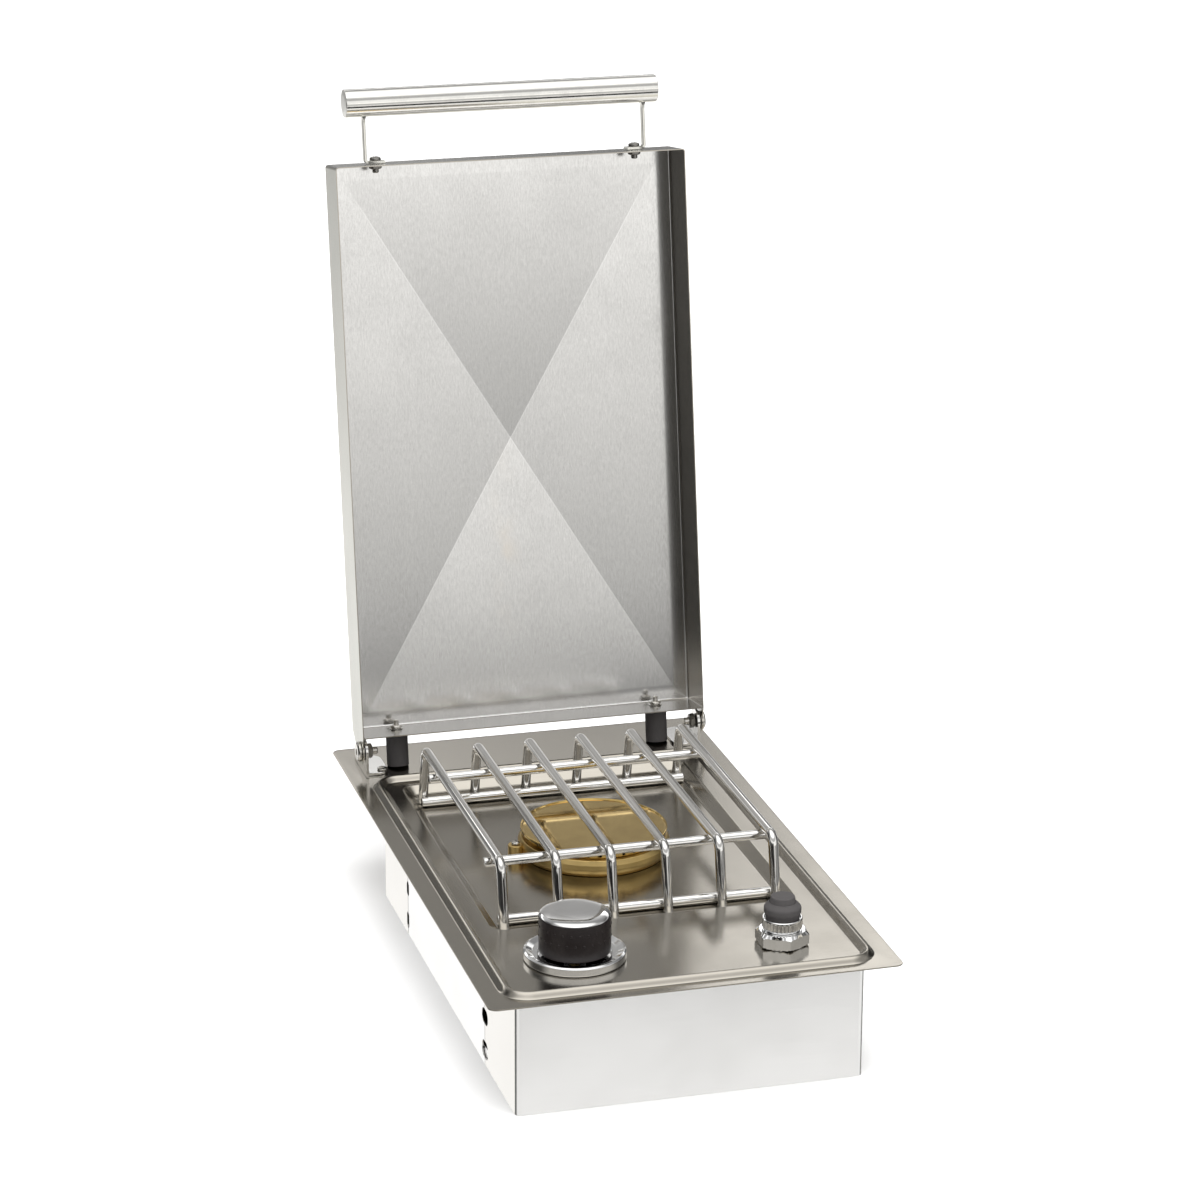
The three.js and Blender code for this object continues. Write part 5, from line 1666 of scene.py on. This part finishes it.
@dataclass
class LidBumpers:
    """Two rubber bumpers on the rear skirt, each on a stud with a nut."""

    x: float = 108.0
    rear_y: float = -12.0
    z: float = 14.0
    radius: float = 8.75
    length: float = 29.22
    lean: float = 9.0
    relief: float = 12.0
    skirt_inside: float = 1.1

    def end_height(self, z: float) -> float:
        """Give the slanted end's height over the root at a place across it."""
        rise = math.tan(math.radians(self.lean))
        return self.length - max(z * rise, z * math.tan(math.radians(self.lean - self.relief)))

    def rubber_form(self) -> Form:
        """Make the rubber with its slanted end, along +Y.

        Returns:
            The form.
        """
        steps, edge, full = 64, 0.9, self.radius
        root = ((full * 0.5, 0.3), (full - edge, 0.3), (full - edge * 0.3, 0.55), (full, 0.3 + edge))
        loops = [[(x, height, z) for x, z, _ in ring(radius, 0.0, steps)] for radius, height in root]
        end = ((full, edge), (full - edge * 0.3, edge * 0.3), (full - edge, 0.0), (full * 0.66, 0.0),
               (full * 0.33, 0.0), (0.05, 0.0))
        loops += [[(x, self.end_height(z) - drop, z) for x, z, _ in ring(radius, 0.0, steps)] for radius, drop in end]
        return Form.loft(loops)

    def build(self) -> None:
        """Set down the rubbers and their studs."""
        stud = Form.turned([(0, -13.0), (2.0, -13.0), (2.0, 6.6), (1.5, 7.0), (0, 7.0)], 32)
        nut = nut_form(flats=8.0, height=3.0, bore=2.0)
        washer = Form.turned(rounded([(2.0, 0.0), (5.2, 0.0, 0.2), (5.2, 0.25, 0.1), (2.0, 0.25)], closed=True), 48)
        for name, side in SIDES:
            Piece(f"bumper_{name}", self.rubber_form(), RUBBER, on_lid(side * self.x, self.rear_y, self.z), "lid",
                  f"lid_bumper_{name}").set_down()
            Piece(f"bumper_nut_{name}", stud.beside(nut, washer).spun(90, "X"), FASTENER_STEEL,
                  on_lid(side * self.x, self.rear_y - self.skirt_inside, self.z), "lid",
                  f"bumper_stud_{name}").set_down()


@dataclass
class HingeHardware:
    """Brackets on the flange with the pivot bolts, nuts and foot screws."""

    outer_x: float = 138.5
    sheet: float = 2.0
    half: float = 10.0
    foot_wide: float = 20.0
    foot_front: float = 6.0
    foot_rear: float = 34.0
    foot_rise: float = 6.0
    foot_corner: float = 9.0
    screw_inset: float = 15.0
    fillet_end: float = 20.0
    pivot_hole: float = 3.3
    screw_hole: float = 2.4
    gap: float = 0.3
    lid_half: float = 141.0

    def bracket_form(self) -> Form:
        """Make the left bracket, its outer face at x = 0 and its foot towards +X.

        Returns:
            The form.
        """
        steps = 40
        outline = [(-self.half, 0.3), (self.foot_rear, 0.3)]
        outline += rounded([(self.foot_rear, 0.3), (self.foot_rear, self.foot_rise, 3.0),
                            (self.half + 3.0, self.foot_rise, 4.0), (self.half, self.foot_rise + 4.0)])[1:]
        outline += [(self.half * math.cos(math.pi * step / steps),
                     HINGE_HEIGHT + self.half * math.sin(math.pi * step / steps)) for step in range(steps + 1)]
        upright = Form.prism(outline, 0, self.sheet).moved(ALONG_X)
        middle = (self.foot_wide / 2, (self.foot_rear - self.foot_front) / 2)
        half_y = (self.foot_rear + self.foot_front) / 2
        foot = Form.loft([
            level_loop(self.foot_wide / 2 - inset, half_y - inset, self.foot_corner - inset, middle, height)
            for inset, height in ((0.3, 0.3), (0.0, 0.5), (0.0, 2.0), (0.3, 2.3))])
        heel = Form.block((0, -self.foot_front, 0.3), (self.foot_wide / 2, self.foot_rear, 2.3))
        fillet = Form.prism([(2.0, 2.3), (4.0, 2.3), (3.0, 2.72), (2.42, 3.3), (2.0, 4.3)],
                            -self.foot_front, self.fillet_end).moved(ALONG_Y)
        pivot = Form.rod(self.pivot_hole, -4, 6).spun(90, "Y").shifted(0, 0, HINGE_HEIGHT)
        screw = Form.rod(self.screw_hole, -2, 5).shifted(self.screw_inset, 0, 0)
        return upright.carved(Cut.JOIN, foot, heel, fillet).carved(Cut.REMOVE, pivot, screw)

    def bolt_form(self) -> Form:
        """Make a pivot bolt on +X, the lid's outer face at x = 0 and its head outside.

        Returns:
            The form.
        """
        outline = rounded([(0, -13.6), (2.4, -13.6), (3.0, -12.9), (3.0, -2.2), (7.5, -2.2, 0.3), (7.5, -1.1, 0.3),
                           (3.0, -1.1), (3.0, 0.3), (8.0, 0.3, 0.3), (8.0, 2.0, 0.8), (6.6, 3.3, 0.8), (0, 3.3)])
        recess = nut_form(flats=5.0, height=3.0, bore=0.2, chamfer=0.3).shifted(0, 0, 1.9)
        return Form.turned(outline, 64).carved(Cut.REMOVE, recess).spun(90, "Y")

    def build(self) -> None:
        """Set down both hinges."""
        for name, side in SIDES:
            bracket = self.bracket_form() if side < 0 else self.bracket_form().mirrored()
            Piece(f"bracket_{name}", bracket, BRACKET_STEEL, at(side * self.outer_x, HINGE_Y, 0),
                  node=f"hinge_bracket_{name}", bevel=0.3).set_down()
            bolt = self.bolt_form() if side > 0 else self.bolt_form().spun(180, "Z")
            Piece(f"hinge_bolt_{name}", bolt, FASTENER_STEEL, at(side * self.lid_half, HINGE_Y, HINGE_HEIGHT),
                  node=f"pivot_bolt_{name}").set_down()
            inner_x = side * (self.outer_x - self.sheet - self.gap)
            Piece(f"hinge_nut_{name}", nut_form(flats=11.0, height=4.5, bore=3.1).spun(-side * 90, "Y"), DARK_FASTENER,
                  at(inner_x, HINGE_Y, HINGE_HEIGHT), node=f"pivot_nut_{name}").set_down()
            Piece(f"foot_screw_{name}", screw_form(head=4.0, rise=2.2, shank=2.1, length=9.0), FASTENER_STEEL,
                  at(side * (self.outer_x - self.screw_inset), HINGE_Y, 2.6),
                  node=f"bracket_screw_{name}").set_down()


@dataclass
class CookingGrate:
    """Six bent rods on two upper and two lower crossbars, welded where they cross."""

    radius: float = 3.75
    rods: int = 6
    outer_x: float = 103.75
    foot_z: float = -5.7
    rod_z: float = 42.05
    line_y: tuple[float, ...] = (-78.95, -68.95, 170.05, 180.05)
    bend: float = 9.0
    upper: Pair = (-45.95, 128.05)
    upper_z: float = 34.25
    upper_half: float = 111.0
    lower: Pair = (-70.195, 171.295)
    lower_z: float = -1.95
    lower_half: float = 106.9

    def rod_form(self) -> Form:
        """Make one bent rod whose feet are cut level.

        Returns:
            The form.
        """
        front, leg_front, leg_rear, rear = self.line_y
        path = rounded([(0, front, self.foot_z), (0, leg_front, self.rod_z, self.bend),
                        (0, leg_rear, self.rod_z, self.bend), (0, rear, self.foot_z)], size=3, steps=12)
        return Form.swept(path, self.radius, floor=self.foot_z, edge=0.35)

    def bar_form(self, half: float) -> Form:
        """Make one straight crossbar with rounded ends."""
        return Form.swept([Vector((-half, 0, 0)), Vector((half, 0, 0))], self.radius, edge=0.9)

    def weld_form(self) -> Form:
        """Make one small weld bead between crossing rods."""
        return Form.turned([(1.7 * math.cos(QUARTER_TURN * step / 4), 1.15 * math.sin(QUARTER_TURN * step / 4))
                            for step in range(-4, 5)], 16)

    def build(self) -> None:
        """Set down the rods, bars and welds."""
        pitch = 2 * self.outer_x / (self.rods - 1)
        places = [-self.outer_x + index * pitch for index in range(self.rods)]
        for index, x in enumerate(places):
            Piece(f"rod_{index + 1}", self.rod_form(), ROD_STEEL, at(x, 0, 0), "grate",
                  f"grate_rod_{index + 1}").set_down()
        for level, ys, z, half in (("upper", self.upper, self.upper_z, self.upper_half),
                                   ("lower", self.lower, self.lower_z, self.lower_half)):
            for end, y in zip(("front", "rear"), ys):
                Piece(f"bar_{level}_{end}", self.bar_form(half), ROD_STEEL, at(0, y, z), "grate",
                      f"grate_bar_{level}_{end}").set_down()
        welds = [self.weld_form().shifted(x, y, self.rod_z - self.radius - 0.15)
                 for x in places for y in self.upper]
        Piece("grate_welds", welds[0].beside(*welds[1:]), DARK_FASTENER, TOP, "grate").set_down()


@dataclass
class BrassBurner:
    """The brass base with its screw lugs and the flat cap with its ports, about the burner's axis."""

    foot_radius: float = 55.0
    radius: float = 58.0
    bowl_radius: float = 49.7
    top_radius: float = 56.0
    base_top: float = 7.6
    lug_radius: float = 6.0
    lug_top: float = 5.0
    cap_radius: float = 56.2
    cap_bottom: float = 12.0
    cap_top: float = 14.5
    band_radius: float = 52.5
    lip_inner: float = 46.6
    ports: int = 36
    port_radius: float = 1.3
    gap: float = 0.3
    bowl_depth: float = 3.0

    def base_form(self) -> Form:
        """Make the base with its lugs.

        Returns:
            The form.
        """
        bottom = RECESS_FLOOR + self.gap
        floor = bottom + self.bowl_depth
        outline = rounded([(9.0, bottom - 18), (11.0, bottom - 18), (11.0, bottom, 0.5),
                           (self.foot_radius, bottom, 0.5), (57.0, floor, 3.0), (self.radius, 0.0, 6.0),
                           (self.radius, 4.0, 1.2), (self.top_radius, self.base_top, 1.0),
                           (self.bowl_radius, self.base_top, 0.3), (self.bowl_radius, floor, 2.0),
                           (9.0, floor, 0.5)], closed=True)
        base = Form.turned(outline, 160)
        lugs = [Form.turned(rounded([(0, bottom), (self.lug_radius, bottom), (self.lug_radius, self.lug_top, 0.8),
                                     (0, self.lug_top)]), 48).shifted(x, y, 0) for x, y in LUG_PLACES]
        bowl = Form.rod(self.bowl_radius, floor, 20, 160)
        holes = [Form.rod(2.3, bottom - 2, self.lug_top + 2).shifted(x, y, 0) for x, y in LUG_PLACES]
        heads = [Form.rod(3.7, self.lug_top, self.lug_top + 6).shifted(x, y, 0) for x, y in LUG_PLACES]
        return base.carved(Cut.JOIN, *lugs).carved(Cut.REMOVE, bowl, *holes, *heads)

    def port_height(self) -> float:
        """Give the height of the ports' axes."""
        return (self.base_top + self.gap + self.cap_bottom) / 2

    def cap_form(self) -> Form:
        """Make the cap and drill its ports.

        Returns:
            The form.
        """
        outline = rounded([(0, self.cap_bottom), (self.lip_inner, self.cap_bottom, 0.5),
                           (self.lip_inner, 3.0), (49.4, 3.0, 0.3), (49.4, self.base_top + self.gap, 0.2),
                           (self.band_radius, self.base_top + self.gap, 0.4), (self.band_radius, self.cap_bottom, 0.4),
                           (self.cap_radius, self.cap_bottom, 0.6), (self.cap_radius, self.cap_top, 0.7),
                           (self.cap_radius - 1.5, self.cap_top, 0.4), (self.cap_radius - 2.1, self.cap_top - 1.0, 0.4),
                           (0, self.cap_top - 1.0)])
        height = self.port_height()
        drills = [Form.rod(self.port_radius, 42, 54.5, 16).spun(90, "Y").spun(360 * index / self.ports, "Z")
                  .shifted(0, 0, height) for index in range(self.ports)]
        return Form.turned(outline, 160).carved(Cut.REMOVE, drills[0].beside(*drills[1:]))

    def in_a_port(self, centre: Vector, normal: Vector) -> bool:
        """Tell the ports' walls, which take painted shade, from the rest of the cap."""
        spread = math.hypot(centre.x, centre.y)
        return (self.lip_inner < spread < self.band_radius - 0.2
                and abs(centre.z - self.port_height()) < self.port_radius + 0.1)

    def build(self) -> None:
        """Set down the base, cap and screws."""
        Piece("brass_base", self.base_form(), BRASS, BURNER, node="burner_base", bevel=0.25).set_down()
        Piece("brass_cap", self.cap_form(), CAP_BRASS, BURNER, "burner_cap", "burner_cap",
              others=((PORT_SHADE_BRASS, self.in_a_port),)).set_down()
        for (x, y), name in zip(LUG_PLACES, ("left", "rear")):
            Piece(f"base_screw_{name}", screw_form(head=3.4, rise=2.2, shank=2.0, length=18.0), FASTENER_STEEL,
                  at(x, y + BURNER_Y, self.lug_top + self.gap), node=f"burner_screw_{name}").set_down()


@dataclass
class GasLine:
    """Valve, venturi and inlet: inside parts keep their nodes, the fitting outside is threaded."""

    inlet_x: float = -113.0
    rear_y: float = 209.0
    inlet_z: float = 58.0
    thread_radius: float = 6.5
    thread_start: float = 6.0
    thread_end: float = 22.0
    thread_depth: float = 0.55
    pitch: float = 1.2

    def fitting_form(self) -> Form:
        """Make the threaded fitting, the panel's inner face at z = 0 and its end outside.

        Returns:
            The form.
        """
        outline = [(4.0, -14.3), (7.5, -14.3), (7.5, -2.3), (10.0, -2.3), (10.0, -0.3),
                   (self.thread_radius, -0.3), (self.thread_radius, self.thread_start)]
        height = self.thread_start
        while height < self.thread_end - 2.5:
            outline += [(self.thread_radius - self.thread_depth, height + self.pitch / 2),
                        (self.thread_radius, height + self.pitch)]
            height += self.pitch
        outline += [(4.6, self.thread_end), (4.0, self.thread_end - 0.5)]
        return Form.turned(outline, 64).spun(-90, "X")

    def build(self) -> None:
        """Set down the fitting and its nut and dress the inner parts."""
        for name, form, out, node in (
                ("inlet_thread", self.fitting_form(), -1.0, "gas_inlet_fitting"),
                ("inlet_nut", nut_form(flats=19.0, height=5.0, bore=6.8).spun(-90, "X"), 0.3, "inlet_locknut")):
            place = Matrix.Translation(Vector((self.inlet_x, self.rear_y + out, self.inlet_z)) * MM)
            Piece(name, form, FITTING_BRASS, place, node=node).set_down()
        for node in ("venturi_tube", "gas_valve_body", "gas_inlet_pipe", "stem_collar"):
            dress(node, CAST_ALLOY)
        for node in ("gas_orifice", "valve_stem"):
            dress(node, FITTING_BRASS)
        dress("air_shutter", BOX_STEEL)


@dataclass
class ControlKnob:
    """Chrome bezel, black knob with two rows of raised dots, and its polished cap."""

    radius: float = 26.0
    low: float = 6.0
    high: float = 32.9
    dots: int = 26
    dot_rows: Pair = (26.3, 18.5)
    dot_radius: float = 1.0
    dot_rise: float = 0.5
    cap_radius: float = 25.9
    cap_rise: float = 4.0
    bezel_hole: float = 12.0
    bezel_radius: float = 37.0
    bezel_sheet: float = 1.0
    gap: float = 0.3

    def bezel_form(self) -> Form:
        """Make the dished bezel.

        Returns:
            The form.
        """
        hole, rim, gap, sheet = self.bezel_hole, self.bezel_radius, self.gap, self.bezel_sheet
        return Form.turned(rounded([(hole, gap, 0.2), (rim - 0.4, gap, 0.4), (rim, 1.2, 0.6), (rim, 5.9, 0.8),
                                    (rim - 1.8, 6.8, 0.8), (30.5, 4.6, 3.0), (26.6, 4.3, 0.5),
                                    (26.3, gap + sheet, 0.4), (hole, gap + sheet, 0.3)], closed=True), 160)

    def body_form(self) -> Form:
        """Make the knob with its dots.

        Returns:
            The form.
        """
        outline = rounded([(0, 22.0), (4.3, 22.0), (4.3, 8.0), (8.0, 8.0, 0.4), (8.0, 24.5, 1.0), (22.0, 24.5, 1.5),
                           (22.0, self.low, 0.3), (self.radius, self.low, 0.9), (self.radius, self.high, 0.5),
                           (0, self.high)])
        body = Form.turned(outline, 160)
        angles = [QUARTER_TURN * step / 4 for step in range(4)]
        curve = [(self.dot_radius * math.cos(angle), self.dot_rise * math.sin(angle)) for angle in angles]
        dot = Form.turned([(0, -0.6), *curve, (0, self.dot_rise)], 14).spun(90, "Y")
        bumps = [dot.shifted(self.radius - 0.05, 0, height).spun(360 * (index + row / 2) / self.dots, "Z")
                 for row, height in enumerate(self.dot_rows) for index in range(self.dots)]
        return body.beside(*bumps)

    def cap_form(self) -> Form:
        """Make the domed cap.

        Returns:
            The form.
        """
        low, top = self.high + self.gap, self.high + self.cap_rise
        falls = ((1.0, 0.0), (6.0, 0.04), (11.0, 0.16), (15.0, 0.36), (18.5, 0.68), (21.3, 1.12), (23.4, 1.7),
                 (24.8, 2.35), (25.6, 3.0), (25.9, 3.5))
        crown = [(radius, top - fall) for radius, fall in reversed(falls)]
        return Form.turned([(0, low), (self.cap_radius - 0.3, low), *crown, (0, top)], 160)

    def build(self) -> None:
        """Set down the bezel, knob and cap."""
        Piece("bezel", self.bezel_form(), CHROME, KNOB, node="knob_bezel").set_down()
        Piece("knob_grip", self.body_form(), KNOB_PLASTIC, KNOB, "knob", "knob_body", crease=40).set_down()
        Piece("knob_disc", self.cap_form(), CAP_STEEL, KNOB, "knob", "knob_cap").set_down()


@dataclass
class PushIgniter:
    """Chrome hex nut, knurled collar, rubber boot and push button, about the igniter's axis."""

    flats: float = 34.6
    turn: float = 30.0
    nut_top: float = 11.0
    barrel: float = 9.8
    knurl_radius: float = 14.7
    cup_radius: float = 13.0
    cup_floor: float = 16.9
    knurl_depth: float = 1.2
    knurl_sharpness: float = 1.5
    neck_radius: float = 13.0
    gap: float = 0.3
    teeth: int = 30
    neck_top: float = 12.3
    knurl_top: float = 20.3
    boot_bore: float = 9.7
    boot_bulge: float = 13.5
    boot_top: float = 31.9
    button_radius: float = 9.4
    button_bottom: float = 18.8
    button_top: float = 36.3

    def nut_form(self) -> Form:
        """Make the low nut with a wide chamfer on top.

        Returns:
            The form.
        """
        steps, corner = 144, self.flats / math.sqrt(3)
        flat = self.flats / 2
        heights = ((0.3, flat), (0.9, flat + 1.4), (1.5, corner), (self.nut_top - 2.7, corner),
                   (self.nut_top - 2.2, corner - 0.5), (self.nut_top - 0.2, flat - 0.3), (self.nut_top, flat - 0.8))
        loops = [lobed_ring(lambda angle: min(hexagon_radius(self.flats, angle), cone), height, steps)
                 for height, cone in heights]
        loops += [ring(self.barrel, height, steps) for height in (self.nut_top, 0.3)]
        return Form.loft(loops, closed=True).spun(self.turn, "Z")

    def collar_form(self) -> Form:
        """Make the neck and the knurled ring.

        Returns:
            The form.
        """
        steps = self.teeth * 6
        low, high, seat = self.neck_top, self.knurl_top, self.nut_top + self.gap
        outside = ((0.8, low, 0.0), (0.2, low + 0.4, 0.5), (0.0, low + 0.9, 1.0), (0.0, high - 1.9, 1.0),
                   (0.1, high - 1.5, 0.3), (0.15, high - 1.3, 0.0), (0.2, high - 0.5, 0.0), (0.7, high, 0.0),
                   (1.2, high, 0.0))
        loops = [lobed_ring(lambda angle: self.knurl_radius - inset - self.knurl_depth * depth
                            * (0.5 - 0.5 * math.cos(self.teeth * angle)) ** self.knurl_sharpness, height, steps)
                 for inset, height, depth in outside]
        inside = ((self.cup_radius, high - 0.8), (self.cup_radius, self.cup_floor), (self.barrel, self.cup_floor),
                  (self.barrel, seat), (self.neck_radius, seat), (self.neck_radius, low))
        loops += [ring(radius, height, steps) for radius, height in inside]
        return Form.loft(loops, closed=True)

    def build(self) -> None:
        """Set down the nut, collar, boot and button and dress the body."""
        foot, bore, top = self.cup_floor + self.gap, self.boot_bore, self.boot_top
        boot = Form.turned(rounded([(bore, foot), (11.9, foot, 0.4), (12.1, 21.3, 3.0), (self.boot_bulge, 24.3, 3.0),
                                    (self.boot_bulge, 28.5, 3.0), (10.6, top - 0.7, 1.6), (9.9, top, 0.3),
                                    (bore, top)], closed=True))
        radius, low, high = self.button_radius, self.button_bottom, self.button_top
        button = Form.turned(rounded([(0, low), (radius, low), (radius, 32.1, 2.0), (8.6, high, 0.9),
                                      (3.5, high, 6.0), (0, high - 0.2)], steps=6))
        Piece("hex_nut", self.nut_form(), CHROME, IGNITER, node="igniter_nut", crease=14).set_down()
        Piece("knurled_ring", self.collar_form(), COLLAR_CHROME, IGNITER, node="igniter_collar",
              crease=40).set_down()
        Piece("rubber_boot", boot, RUBBER, IGNITER, node="igniter_boot").set_down()
        Piece("push_button", button, RUBBER, IGNITER, "igniter_button", "igniter_button").set_down()
        dress("igniter_body", IGNITER_PLASTIC)


@dataclass
class SparkElectrode:
    """The ceramic, its spark rod and the lead, all carried over and dressed."""

    finishes: dict[str, Finish] = field(default_factory=lambda: {
        "electrode_ceramic": CERAMIC, "spark_rod": FASTENER_STEEL, "ignition_lead": SLEEVE})

    def build(self) -> None:
        """Dress the three nodes."""
        for node, finish in self.finishes.items():
            dress(node, finish)


def main() -> None:
    """Build the studio and every assembly."""
    logging.basicConfig(level=logging.INFO, format="%(name)s: %(message)s")
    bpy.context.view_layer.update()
    for part in (Studio(), DrawnTop(), BurnerBox(), LidShell(), LidHandle(), LidBumpers(), HingeHardware(),
                 CookingGrate(), BrassBurner(), GasLine(), ControlKnob(), PushIgniter(), SparkElectrode()):
        part.build()
    log.info("sizes written")


if __name__ == "__main__":
    main()
